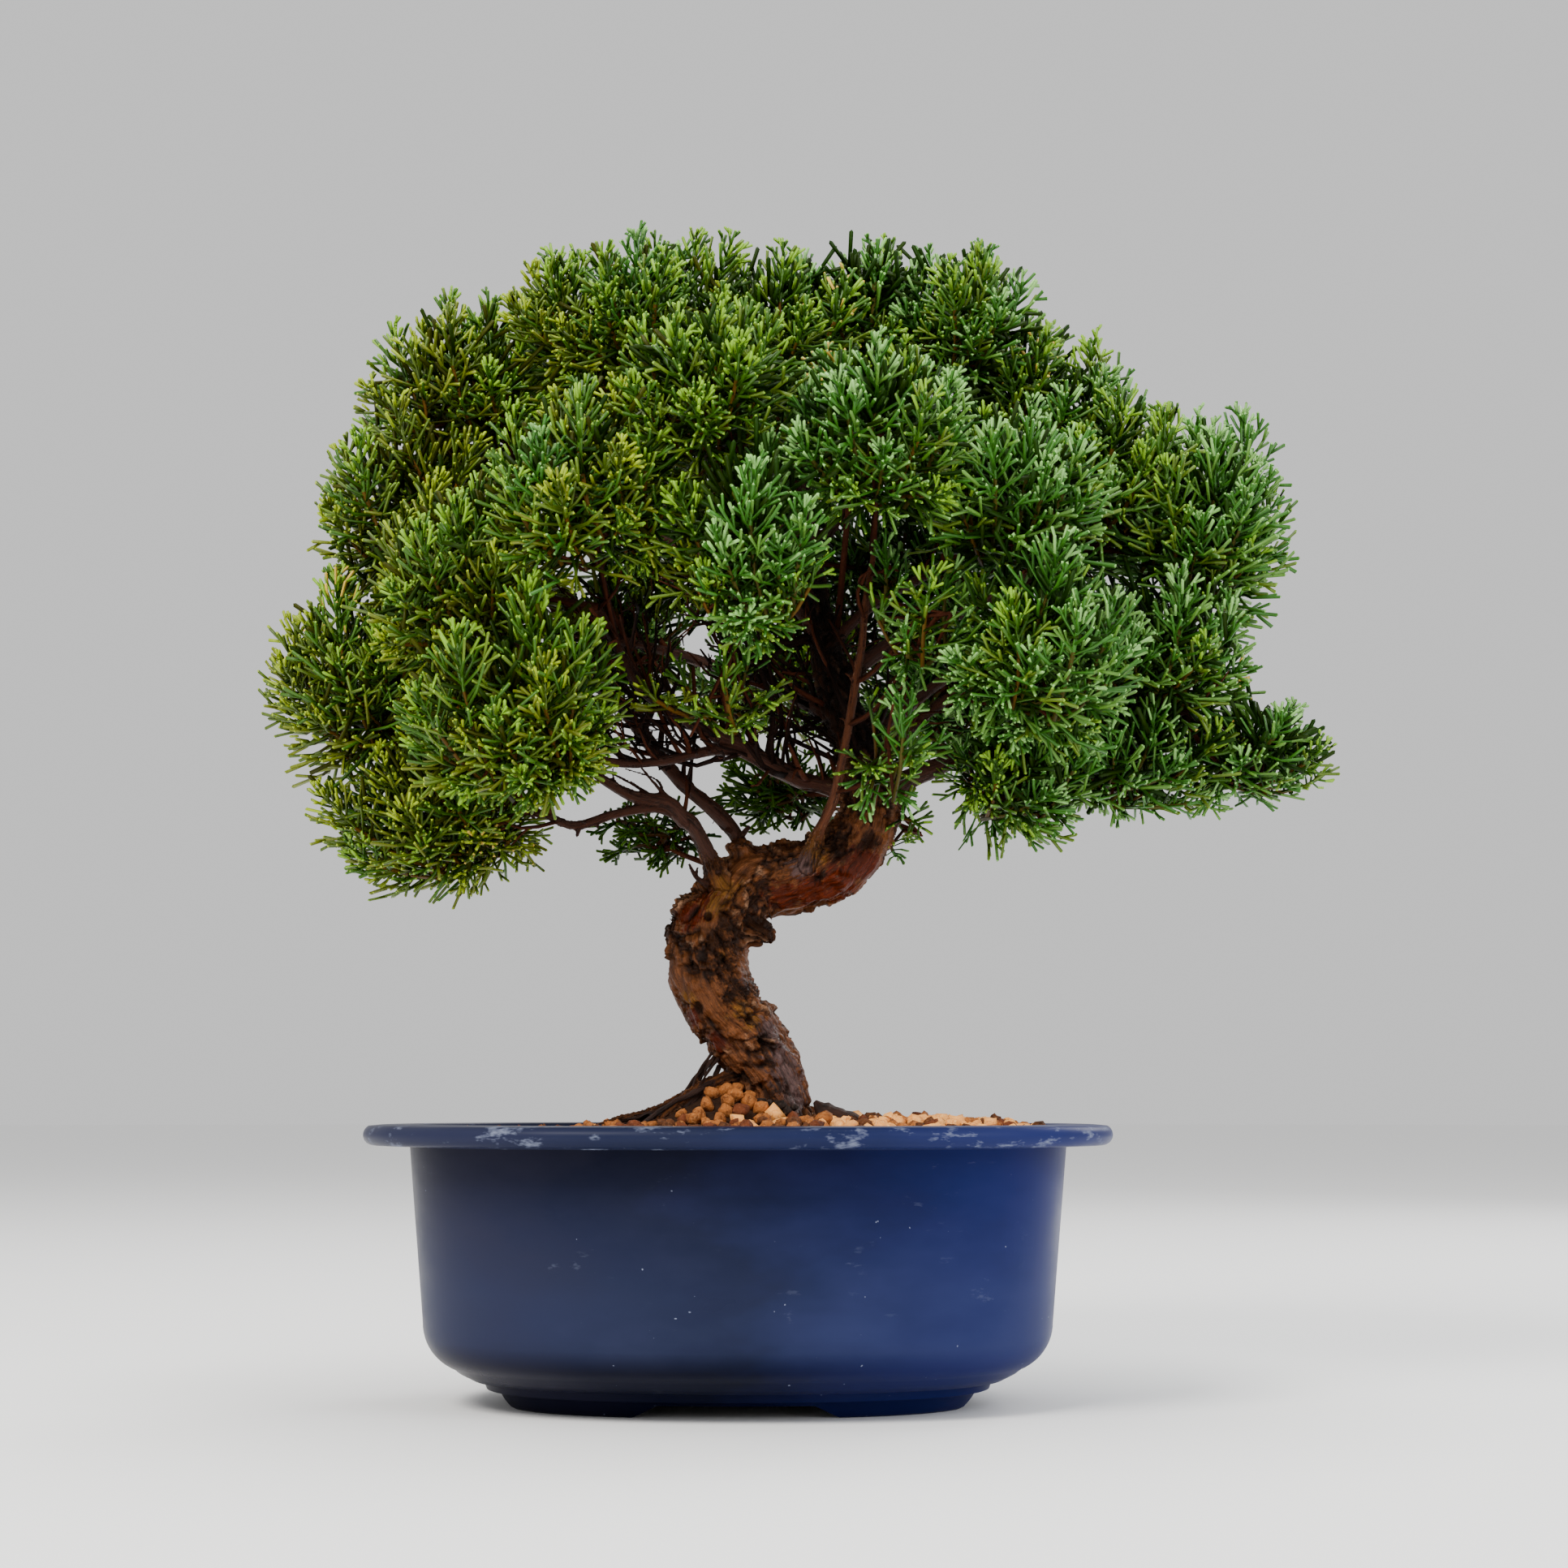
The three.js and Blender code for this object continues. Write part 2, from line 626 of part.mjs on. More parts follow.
function sprayGeometry({ outline, peaks }) {
  const places = [];
  outline.forEach((a, i) => {
    const b = outline[(i + 1) % outline.length];
    places.push(...a, ...b, ...peaks[1], ...b, ...a, ...peaks[0]);
  });
  const array = new THREE.Float32BufferAttribute(places, 3);
  const shape = new THREE.BufferGeometry().setAttribute("position", array);
  const solid = solidOf(shape);
  return solid.volume() > 0 ? solid : solidOf(flipped(shape.setIndex([...array.array.keys()].slice(0, array.count))));
}

// The dense heart: a ball of the mass's own proportions, pulled in where the next mass or a limb is near.
function core(mass, draw) {
  const lumps = new Map();
  const shape = reshape(new THREE.IcosahedronGeometry(1, 0), (p) => {
    const key = [p.x, p.y, p.z].map((v) => v.toFixed(3)).join();
    if (!lumps.has(key)) {
      let share = CORE_SHARE * (0.9 + 0.22 * draw());
      while (share > 0.08 && !inSpace(mass, along(mass, p, share * 1.05))) share -= 0.02;
      lumps.set(key, share);
    }
    return along(mass, p, lumps.get(key));
  });
  return solidOf(shape);
}

// The stem of a mass: from its limb, a little before the limb's tip where another mass has the tip, to its heart.
function stemRoute(mass) {
  const heart = vector(mass.at);
  const fellows = Object.values(MASSES).filter((other) => mass.from && other.from === mass.from);
  const back = FORK_STEP * Math.max(0, fellows.indexOf(mass));
  const start = mass.stem ? vector(mass.stem) : curveOf(ROUTES[mass.from ?? "trunk"]).getPointAt(1 - back);
  const rise = start.clone().lerp(heart, 0.5);
  rise.z -= 0.06 * start.distanceTo(heart);
  const end = mass.open ? heart.clone().lerp(start, -0.5) : heart;
  const thick = mass.open ? 1.1 : 1.4;
  return [start, rise, end].map((p, i) => [...p, thick * (1 - 0.2 * i)]);
}

// Twigs branch from the stem, each with a spray at its end.
function makeMass(name, mass, seed, limbs) {
  const draw = seeded(seed);
  const route = stemRoute(mass);
  let solid = limb(route, { sides: 4, steps: 2 });
  if (!mass.open) solid = solid.add(core(mass, draw));
  const size = Math.cbrt(mass.reach[0] * mass.reach[1] * mass.reach[2]);
  const count = Math.round(size * (mass.open ? 0.3 : 0.43));
  const line = curveOf(route);
  directions(count, draw).forEach((direction) => {
    const turn = draw() * Math.PI;
    const root = mass.open ? line.getPoint(0.55 + 0.45 * draw()) : along(mass, direction, 0.46);
    const far = along(mass, direction, 0.99);
    const blade = spray(mass.open ? root.clone().lerp(far, 0.3) : root, far, turn);
    if (!testPoints(blade).every((p) => inSpace(mass, p) && clearOfLimbs(p, LIMB_ROOM))) return;
    if (mass.open) {
      const twig = [root, root.clone().lerp(far, 0.5)].map((p, i) => [...p, 0.8 - 0.3 * i]);
      solid = solid.add(limb(twig, { sides: 3, steps: 1 }));
    }
    solid = solid.add(sprayGeometry(blade));
  });
  return named(name, solid.subtract(limbs), "foliage");
}

// Assembly

const limbOptions = (route) => ({ sides: 6, steps: route.length });
const wideTrunk = makeTrunk(CLEAR);
let wideLimbs = wideTrunk;
const limbGroup = new THREE.Group();
limbGroup.add(named("trunk", makeTrunk(0), "bark"));
for (const [name, route] of Object.entries(BOUGHS)) {
  limbGroup.add(named(name, limb(route, limbOptions(route)).subtract(wideLimbs), "bough"));
  wideLimbs = wideLimbs.add(limb(route, { ...limbOptions(route), extra: CLEAR, reachOn: CLEAR }));
}

const foliageGroup = new THREE.Group();
const wideStems = Object.values(MASSES).map((mass) =>
  limb(stemRoute(mass), { sides: 4, steps: 2, extra: 1.4 * CLEAR, reachOn: CLEAR }),
);
Object.entries(MASSES).forEach(([name, mass], i) => {
  const others = wideStems.filter((_, k) => k !== i).reduce((a, b) => a.add(b));
  foliageGroup.add(makeMass(name, mass, 1009 + 37 * i, wideLimbs.add(others)));
});

const potGroup = new THREE.Group();
potGroup.add(named("pot", makePot(), "pot"));
potGroup.add(named("soil", makeSoil(wideTrunk), "soil"));

const bonsai = new THREE.Group();
bonsai.add(potGroup, limbGroup, foliageGroup);
bonsai.position.set(...POT_FROM_ORIGIN, 0);

export default bonsai;
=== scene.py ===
import math
import random

import bpy
import numpy as np
from mathutils import Matrix, Vector, noise


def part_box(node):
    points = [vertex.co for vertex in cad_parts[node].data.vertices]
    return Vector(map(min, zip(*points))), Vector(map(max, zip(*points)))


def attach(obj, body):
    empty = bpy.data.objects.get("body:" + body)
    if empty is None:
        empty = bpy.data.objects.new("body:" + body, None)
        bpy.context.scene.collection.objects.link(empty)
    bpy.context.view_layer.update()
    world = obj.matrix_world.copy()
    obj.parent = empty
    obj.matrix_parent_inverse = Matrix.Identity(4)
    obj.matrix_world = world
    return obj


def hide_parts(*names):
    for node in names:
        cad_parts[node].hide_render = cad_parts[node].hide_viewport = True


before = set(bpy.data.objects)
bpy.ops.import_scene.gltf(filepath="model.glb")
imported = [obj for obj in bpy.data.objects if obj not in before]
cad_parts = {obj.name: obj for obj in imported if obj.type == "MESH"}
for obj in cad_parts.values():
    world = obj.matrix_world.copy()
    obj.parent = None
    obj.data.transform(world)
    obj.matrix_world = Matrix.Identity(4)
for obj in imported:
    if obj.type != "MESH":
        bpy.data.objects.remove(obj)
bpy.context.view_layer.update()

# Kishu juniper bonsai in a blue oval plastic pot.
# Shapes are worked out in millimetres in the pot's own frame: X to the right, Y to the back and Z up
# from the feet, with the origin under the pot's middle. They are moved to the frame's metres when they
# become meshes.

MM = 0.001
POT_LOW, POT_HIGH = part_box("pot")
POT_MIDDLE = Vector(((POT_LOW.x + POT_HIGH.x) / 2, (POT_LOW.y + POT_HIGH.y) / 2, 0))
BODY = "root"

# Camera, as the photograph was taken
CAMERA_AT = (13.4, -800.0, 88.1)
CAMERA_LOOKS_UP = 6.713  # degrees
CAMERA_LENS = 61.58  # mm, on a sensor 36 mm wide

# Pot
PLAN_HANDLE = 0.64  # Bezier handle of a quarter of the plan: 0.552 is an ellipse, more is squarer
PLAN_STEPS = 28  # edges along each quarter of the plan
NARROWER = 28  # the half depth is this much less than the half length
STRAIGHT_FROM = 66  # half length from which the depth follows the length
WALL = 2.6
FLOOR = 8.6  # underside of the floor, inside the foot ring
FLOOR_TOP = 12.6
POT_TOP = 81
LIP_AT = (107, 78)
LIP_RADIUS = 3
BODY_TOP = 96.5  # half length of the body under the lip
BELLY_AT = (78, 24)
BELLY_RADIUS = 14
FOOT_HEIGHT = 3.6
FOOT_GAPS = {"X": 22, "Y": 9}  # half the clear span between two feet, along each axis
FOOT_SLOPE = 9
DRAIN_RADIUS = 7
DRAIN_FROM_MIDDLE = 34

# Soil
SOIL_EDGE = 78.4
SOIL_LEVEL = 80.2
SOIL_TILT = 0.03
SOIL_DOME = (2.6, 34)  # height and radius
GRANULE_BED = 2.8  # the ground lies this far below the granules' middles
ROOT_BED = (-22, -12, 13, 12)  # middle and reach of the ground that the roots cover
MOUND_AT = (-5, -9)
MOUND = (8.5, 13)  # height and radius
TAIL_AT = (-24, -9)
TAIL = (3.2, 19)  # height and radius
GRANULE_SPACING = 4.0
GRANULE_ROOM = 0.8  # two granules' middles are at least this share of their radii apart
GRANULE_MODELS = 6
MOUND_AROUND = 22  # radius round the mound in which granules lie higher and are more orange
TRUNK_CLEARANCE = 9  # no granule lies nearer to the trunk's middle
PALE_PATCH = ((14, -20), 12)  # middle and radius of the pale granules before the trunk
PALE_RIGHT_OF = 24
PALE_UNDER = 84.5  # height up to which granules are pale there
ORANGE, BROWN, TAN, RUST, CHAR = range(5)
# Heaps of larger granules: middle, spread, tries, radii, how high they pile up, and a colour where they
# have one of their own
GRANULE_HEAPS = [
    ((-3, -14), (10, 8), 150, (2.1, 2.9), 0.5, ORANGE),
    ((11, -14), (7, 2.5), 60, (1.2, 2.2), 3.5, CHAR),
    ((14, -20), (15, 6), 60, (2.3, 3.3), 0.3, None),
    ((46, -14), (42, 44), 130, (2.0, 3.0), 0, None),
]

# Each row of a route is x, y, z and the limb's radius there.
TRUNK_ROUTE = [
    (11, 0, 81, 12), (9, -1, 93, 11), (2, -2, 106, 11.6), (-5.5, -3, 117, 11.6),
    (-9, -3, 128, 12.2), (-8.2, -2, 138.5, 12), (-2.6, 0, 147, 11.2), (5, 2, 152.6, 10.9),
    (17, 2, 154.6, 10.9), (28, 0, 158.4, 10.9), (36.5, -2, 166, 10), (40, -2, 176, 9),
    (38, 0, 187, 8.2), (33, 3, 200, 7), (28, 5, 215, 5.8), (24, 4, 234, 4.4),
    (21, 2, 259, 3.2), (18, 0, 281, 2.2),
]
ROOTS = [
    [(3, -3, 103, 2.2), (-9, -6, 98.5, 1.1), (-13.5, -8, 92, 1.0), (-24, -10, 85.5, 1.1),
     (-36, -12, 82.5, 0.9), (-42, -13, 80, 0.9)],
    [(3, -5, 95, 3.4), (-8, -9, 93, 2), (-16, -12, 88, 1.7), (-26, -15, 79, 1.4)],
    [(10, -6, 91, 4.5), (14, -11, 85, 3.4), (18, -15, 78, 2.2)],
    [(12, 4, 90, 4), (20, 8, 84, 2.8), (33, 10, 79, 2.4)],
    [(7, 5, 93, 4.5), (0, 12, 85, 3.2), (-7, 18, 77, 2.2)],
]
# Hair roots that hang off the big left root down to the mound, and a slab of bark beside the trunk
HAIR_ROOTS = [
    [(-8, -6, 99, 0.7), (-11, -8, 94, 0.5), (-12, -9, 88, 0.45), (-13, -9, 83, 0.4)],
    [(-10, -7, 98, 0.6), (-14.5, -9, 92, 0.5), (-18, -10, 87, 0.45), (-19, -11, 82, 0.4)],
    [(-6, -6, 98, 0.8), (-8, -9, 93, 0.7), (-12, -12, 88, 0.6), (-15, -13, 83, 0.5)],
    [(-4, -7, 96, 0.8), (-11, -12, 91, 0.9), (-19, -14, 87, 0.8), (-27, -15, 82, 0.7)],
    [(-7.6, -8, 102, 0.6), (-10.8, -9, 97.8, 0.45), (-13.6, -11, 91, 0.35)],
    [(-7, -8, 101, 0.6), (-9.4, -10, 97.6, 0.4), (-10.2, -11, 92, 0.35)],
    [(-6, -8, 100, 0.6), (-8.4, -10, 96.6, 0.45), (-12.4, -12, 90.6, 0.35)],
    [(22.4, -12, 87.2, 0.7), (24.6, -12.5, 85, 2.2), (28.6, -13, 83.8, 2.2), (35, -13, 82.4, 1.3)],
]
FAN_ROOTS = 11  # more strands, spread at random over the mound
# Knobs on the trunk: middle and radii
KNOBS = [
    ((5.4, -4, 137.2), (5.6, 5, 4.8)),
    ((-19.4, -4, 137.5), (2.6, 4, 4)),
    ((16.2, -4, 100.6), (2.2, 2.6, 2.2)),
    ((17.4, -5, 96.2), (2.4, 2.6, 2)),
    ((0, -2, 163), (4.6, 4, 2.6)),
    ((-14, -9, 128), (3.4, 3, 4.6)),
    ((-6, -12, 119), (3, 2.4, 4)),
    ((30, -8, 153), (4, 4, 3)),
    ((5.8, -11, 100.5), (2.5, 2.4, 2.5)),
    ((10.5, -11, 104), (1.8, 2, 1.8)),
    ((-2, -13.5, 107), (2, 1.6, 2)),
]
# Marks on the trunk's front: place and radius
TRUNK_MARKS = {
    "warm": [
        (14, -9, 146, 6), (22, -9, 148, 7), (30, -9, 151, 8), (36, -9, 157, 6), (-9, -12, 147, 4),
        (-14, -11, 142, 4), (-14, -9, 112, 3), (-6, -11, 105, 3), (-12, -12, 132, 2),
    ],
    "yellow": [
        (22, -11, 160, 4), (-3, -13, 157, 3), (-4, -13, 151, 4), (-7, -13, 146, 3), (0, -12, 114, 3),
        (4, -12, 111, 2.5), (-5, -13, 129.5, 1.8), (-14, -10, 118, 2.5),
    ],
    "grey": [
        (10, -11, 108, 4), (14, -12, 102, 5), (16, -12, 95, 6), (18, -11, 88, 5), (18, -11, 157, 4),
        (4, -12, 123, 3),
    ],
    "dark": [
        (7, -8, 137, 6), (-6, -13, 134, 4), (-3, -13, 128, 4), (-12, -11, 135, 3), (10, -11, 86, 5),
        (3, -12, 90, 4), (-20, -6, 138, 3), (0, -12, 140, 4), (3, -12, 146, 5), (30, -9, 164, 5),
        (12, -10, 163, 4), (-9, -12, 157, 4), (37, -9, 174, 5), (-3, -12, 115, 3), (8, -12, 105, 3),
        (24, -10, 153, 2), (-14, -10, 100, 4), (1, -12, 120, 3), (39, -11, 162.5, 4),
        (6, -13, 104.5, 2.4), (2.6, -13, 98, 2), (9, -13, 99, 1.8), (9, -12, 83, 7), (-2, -12, 94, 4),
        # The marks on the next line, high on the trunk deep in the crown, are painted shade.
        (39, -10, 184, 8), (36, -7, 196, 9), (31, -4, 209, 10), (28, -3, 222, 10), (24, -2, 236, 9),
    ],
}
# Small dark holes: place and radius
HOLES = [
    (-9, -13, 142, 1.7), (-11.8, -12, 114.8, 2.0), (6, -12.5, 131, 1.6), (27, -11, 163, 1.6),
    (6.8, -12, 105.6, 1.7), (3.4, -12, 111.8, 1.2), (-4, -13, 126, 1.3),
]
# Open cracks, each a line of places
CRACKS = [
    [(-11.5, -12, 151), (-12.5, -12, 146), (-15, -11, 139)],
    [(-4, -13, 150), (-1, -13, 145), (1, -13, 141)],
    [(-16, -9, 124), (-9, -12, 124.5), (-3, -13, 123)],
    [(1, -12, 109), (5, -12, 106.5), (9, -12, 107)],
    [(3, -13, 102), (3.4, -13, 98.4), (6.4, -13, 97.4), (8.8, -13, 99.6)],
    [(-9, -12, 112), (-5, -13, 106), (-1, -13, 102)],
    [(6, -12, 154), (14, -11, 156), (22, -11, 157)],
]
# Dead twigs and small forks on the lowest boughs
SNAGS = {
    "left_low_bough": [
        [(-9, -9, 151, 1.2), (-12.6, -10, 153.4, 0.8), (-14.8, -10, 157.5, 0.5)],
        [(-12.6, -10, 153.4, 0.7), (-12, -10, 156.5, 0.4)],
        [(-46.5, -16, 168.2, 1), (-47.6, -16, 164.6, 0.6)],
        [(-15.5, -10, 169.5, 2.5), (-21, -12, 175, 2.6), (-30, -14, 176.6, 2.0), (-39, -17, 181, 1.5),
         (-47, -22, 187, 1.1)],
        [(-19, -12, 175, 1), (-25, -13, 181, 0.6), (-30, -13, 187, 0.4)],
        [(-24, -12, 176, 0.8), (-31, -13, 180.5, 0.6), (-40, -14, 185, 0.4)],
        [(-22, -12, 176, 0.8), (-24, -9, 182, 0.5), (-34, -8, 186, 0.4)],
        [(-33, -14, 177, 0.7), (-37, -16, 183, 0.4), (-36, -14, 188, 0.3)],
    ],
    "left_bough": [
        [(0, 2, 166, 1.2), (3, -1, 169.4, 0.8)],
        [(-1, 3, 168, 1), (-4.6, 0, 168.4, 0.6)],
    ],
}
COLLAR = 17  # length of the flared foot that a bough has in the trunk
COLLAR_FLARE = 1.6  # times the route's radius where it leaves the trunk, and 1 less at its end
COLLAR_FITTED = 0.85  # that holds for a BOUGH_THICKNESS of this, and the foot follows its changes
TRUNK_DETAIL = 0.51  # size of the faces
BOUGH_DETAIL = 0.42
# Painted shade on the trunk deep in the crown.
CROWN_SHADE = (0.172, 0.192)  # the trunk darkens between these heights, deep in the crown, in metres

BOUGHS = {
    "left_low_bough": [
        (-4, -5, 149, 4), (-10, -8, 162, 3.1), (-15, -10, 170, 2.9), (-24, -12, 173.6, 2.1),
        (-36, -16, 171.5, 1.8), (-48, -16, 168.2, 1.7), (-58, -13, 172, 1.5), (-66, -9, 175, 1.3),
    ],
    "left_bough": [
        (2, 2, 153, 4), (0, 3, 165, 2.9), (-6, 4, 173, 3), (-16, 6, 182, 2.8), (-24, 8, 191, 2.8),
        (-30, 9, 199, 2.7), (-38, 9, 209, 2.4), (-49, 8, 216, 2.1), (-64, 4, 222, 1.8),
        (-76, 0, 230, 1.5),
    ],
    "left_high_bough": [
        (38, 2, 177, 4.4), (27, -2, 181, 3.4), (18, -4, 183, 3.2), (10, -6, 187, 3.4),
        (1, -8, 192, 3.6), (-9, -10, 197, 3.2), (-18, -13, 202, 2.8), (-28, -19, 208, 2.4),
        (-34, -30, 217, 2.1), (-40, -43, 228, 1.7),
    ],
    "left_mid_bough": [
        (1, -8, 192, 2.2), (-8, -11, 191, 2), (-19, -14, 188, 1.9), (-31, -19, 186, 1.7),
        (-38, -27, 186, 1.5), (-44, -36, 188, 1.3),
    ],
    "right_low_bough": [
        (40, 0, 177, 4.6), (52, -2, 184, 3.8), (64, -3, 189, 3.3), (79, -5, 195, 2.8),
        (94, -6, 200, 2.3), (112, -7, 204, 1.9), (128, -7, 204, 1.6), (143, -5, 199, 1.3),
    ],
    "right_front_bough": [(39, -3, 183, 3.4), (48, -17, 194, 2.4), (57, -29, 201, 2), (66, -41, 206, 1.6)],
    "front_leader": [
        (21, -6, 157, 3), (23.5, -12, 166, 2.2), (28, -17, 176, 1.9), (30, -20, 185, 1.8),
        (32, -23, 195, 1.7), (34, -26, 207, 1.6), (36, -30, 219, 1.5), (37, -37, 231, 1.4),
        (39, -48, 243, 1.2),
    ],
    "centre_front_bough": [(25, 3, 225, 2.4), (18, -18, 231, 2), (11, -38, 234, 1.7), (7, -55, 236, 1.3)],
    "top_left_bough": [(22, 3, 249, 2.4), (9, 2, 265, 2), (-6, 6, 281, 1.7), (-20, 12, 295, 1.4)],
    "top_right_bough": [(22, 3, 253, 2.4), (33, 4, 269, 2), (44, 8, 284, 1.7), (53, 13, 297, 1.4)],
    "right_high_bough": [
        (28, 5, 212, 3.6), (44, 8, 225, 3), (67, 9, 236, 2.6), (91, 7, 248, 2.1), (113, 4, 257, 1.7),
        (126, 1, 262, 1.4),
    ],
    "left_upper_bough": [
        (25, 4, 233, 2.8), (4, 5, 244, 2.4), (-20, 5, 256, 2.1), (-48, 3, 269, 1.7), (-70, 0, 279, 1.3),
    ],
    "back_left_bough": [
        (34, 3, 199, 3.4), (17, 18, 211, 2.8), (-6, 34, 223, 2.4), (-35, 46, 233, 2),
        (-59, 50, 238, 1.5),
    ],
    "back_right_bough": [(37, 2, 193, 3.4), (49, 16, 206, 2.7), (66, 30, 221, 2.2), (86, 42, 239, 1.6)],
    "back_bough": [(25, 4, 231, 2.6), (23, 26, 249, 2.1), (21, 48, 263, 1.6)],
    "right_mid_bough": [(26, 4, 223, 2.6), (37, -14, 232, 2.1), (49, -29, 237, 1.8), (61, -40, 241, 1.4)],
}

# Masses of foliage: middle, reach along X, Y and Z, and the limb that carries it or the place where its
# stem starts
MASSES = {
    "top_left": ((-32, -5, 326), (35, 32, 27), "top_left_bough"),
    "top_middle": ((10, -14, 318), (23, 30, 25), "trunk"),
    "top_right": ((69, -6, 323), (25, 32, 26), "top_right_bough"),
    "left_upper": ((-87, 0, 304), (26, 30, 28), "left_upper_bough"),
    "left_shoulder": ((-100, -5, 267), (26, 32, 31), "left_upper_bough"),
    "left_outer": ((-114, -8, 215), (26, 34, 33), "left_bough"),
    "left_under": ((-93, -5, 173), (34, 34, 26), "left_low_bough"),
    "left_front_low": ((-61, -60, 198), (30, 31, 32), "left_mid_bough"),
    "left_front_middle": ((-78, -52, 237), (25, 30, 26), "left_high_bough"),
    "left_front_high": ((-42, -70, 260), (26, 31, 30), "left_high_bough"),
    "front_top": ((-6, -66, 288), (27, 31, 27), "trunk"),
    "front_centre": ((5, -83, 239), (20, 25, 30), "centre_front_bough"),
    "front_right_high": ((40, -72, 274), (26, 30, 27), "front_leader"),
    "front_right_middle": ((78, -56, 260), (26, 31, 28), "right_mid_bough"),
    "front_right_low": ((85, -64, 215), (26, 31, 28), "right_front_bough"),
    "right_high": ((141, 0, 261), (26, 33, 34), "right_high_bough"),
    "right_shoulder": ((108, 0, 276), (25, 33, 26), "right_high_bough"),
    "right_tip": ((158, -4, 192), (22, 24, 16), "right_low_bough"),
    "right_outer": ((127, -8, 220), (23, 34, 25), "right_low_bough"),
    "right_low": ((118, -8, 190), (26, 31, 19), "right_low_bough"),
    "right_under": ((83, -24, 182), (22, 30, 20), "right_low_bough"),
    "back_top_left": ((-46, 50, 312), (34, 34, 31), "top_left_bough"),
    "back_top_right": ((37, 53, 317), (38, 34, 31), "top_right_bough"),
    "back_left_middle": ((-92, 54, 264), (32, 34, 32), "back_left_bough"),
    "back_left_low": ((-84, 56, 212), (33, 34, 29), "back_left_bough"),
    "back_middle": ((-12, 82, 278), (35, 28, 33), "back_bough"),
    "back_right_middle": ((104, 54, 276), (34, 34, 32), "back_right_bough"),
    "back_right_low": ((114, 54, 223), (34, 32, 30), "back_right_bough"),
    "back_middle_right": ((52, 80, 265), (32, 28, 34), "back_bough"),
    "top_peak": ((38, -2, 329), (18, 27, 23), "trunk"),
    "right_upper": ((88, 4, 298), (23, 29, 25), "top_right_bough"),
    "back_inner_left": ((-40, 72, 240), (27, 26, 25), "back_left_bough"),
    "back_inner_middle": ((12, 78, 232), (29, 26, 25), "back_bough"),
    "back_inner_right": ((66, 74, 222), (29, 27, 27), "back_right_bough"),
    "centre_sprig": ((-6, -42, 206), (19, 17, 17), "centre_front_bough"),
    "inner_sprig": ((52, -60, 225), (18, 19, 20), "front_leader"),
    "front_sprig": ((42, -50, 187), (15, 17, 25), (39, -11, 169)),
    "foot_sprig": ((53, 2, 169), (11, 14, 13), (49, -1, 173)),
    "back_left_pad": ((-29, 30, 170), (17, 18, 12), (-8, 5, 158)),
    "back_middle_pad": ((13, 38, 185), (23, 20, 14), (38, 4, 180)),
}
# These masses lie in shade, and their leaves take the deep tone, which is painted shade.
SHADED_MASSES = ("back_left_pad", "back_middle_pad")
# Tips of single sprays that stand out of the outline, or fill a cleft between masses
SPIRES = {
    "top_left": [
        (-63, -8, 340), (-56, -4, 345), (-50, 3, 347), (-58, 8, 337), (-13, -6, 350), (-17, 3, 349),
        (-66, 3, 334),
    ],
    "left_upper": [(-89, -2, 332), (-82, 5, 328)],
    "left_front_low": [(-50, -60, 172), (-43, -57, 178), (-57, -62, 169), (-40, -50, 186)],
    "right_shoulder": [(108, -2, 319)],
    "right_high": [(152, -3, 297), (146, 6, 292), (139, -4, 294)],
    "back_top_left": [(-27, 46, 322), (-19, 43, 318), (-33, 52, 323), (-24, 55, 316), (-13, 50, 314)],
    "front_right_high": [(26, -36, 303), (33, -30, 307)],
}
# Nothing grows in these boxes, before the front leader and beside the low right bough. Each is given by
# two corners.
OPEN_BOXES = np.array((
    ((20.0, -110.0, 184.0), (37.0, -20.0, 232.0)),
    ((57.0, -70.0, 155.0), (68.0, 70.0, 184.0)),
))
# Lines of sight right through the crown: two places and the radius that stays free
SIGHT_LINES = [
    ((23.8, -110, 216.5), (27.2, 120, 259.3), 3.5),
    ((29.1, -110, 216.5), (34.3, 120, 259.3), 3.5),
    ((-9, -110, 206.8), (-16.5, 120, 246.4), 5),
    ((6.9, -110, 194.8), (4.7, 120, 230.4), 3.5),
]
OPEN_MASSES = (
    "centre_sprig", "inner_sprig", "front_sprig", "foot_sprig", "back_left_pad", "back_middle_pad",
)
BOUGH_THICKNESS = 0.8  # the solids' boughs are a little thicker, as they carry no relief
MELT = 2.6  # how softly the masses flow into each other: less is softer
FORK_STEP = 0.14  # masses on one limb leave it this share of its length apart
CROWN_MIDDLE = np.array((12.0, 4.0, 235.0))
CROWN_REACH = np.array((165.0, 115.0, 105.0))
CROWN_INSET = 0.11  # tips end this far inside the crown, on the whole
TRIM_FROM = 1.1  # branches of a spray that end farther out than this are left out
TUCK_FROM = 0.98  # and what stands out past this is drawn back
TUCK_KEEP = 0.75  # to this share of how far it stood out
# Middle and reach of the twiggy space in the crown, and of the clear air between the lowest boughs
HOLLOW = np.array(((-6.0, -6.0, 212.0), (54.0, 34.0, 31.0)))
GAP = np.array(((7.0, 0.0, 174.0), (22.0, 60.0, 12.0)))

# Sprays of scale leaves
CORD_RADIUS = 0.57
# Kinds of spray: space between cords along the axis, reach of the lowest cords, share of forks, and
# whether it has a dense head
SPRAY_KINDS = {
    "dense": (1.25, 0.46, 1.0, True),
    "slim": (1.25, 0.58, 0.6, False),
    "open": (1.7, 0.47, 0.9, False),
}
SPRAY_LENGTHS = {"dense": (28, 36, 44, 52), "slim": (28, 36, 44, 52), "open": (18, 26, 34)}
SPRAY_MODELS = 3  # of each kind and length
SPRAY_SPACING = 21.0  # between the sprays of a mass, over its surface
STEM_RADII = (1.4, 1.1, 0.9, 0.6)  # along a mass's stem, from its limb to its end
OPEN_STEM = 0.8  # share of these radii that an open mass's stem has
SHADED_SPRAYS = 1.8  # the shaded masses have this many times as many
OPEN_SHARE = 0.75  # of the sprays that droop
YELLOW_SHARE = 0.012  # of all sprays have some yellow tips
LEAF_ROOM = 1.2  # tips stay this clear of the limbs
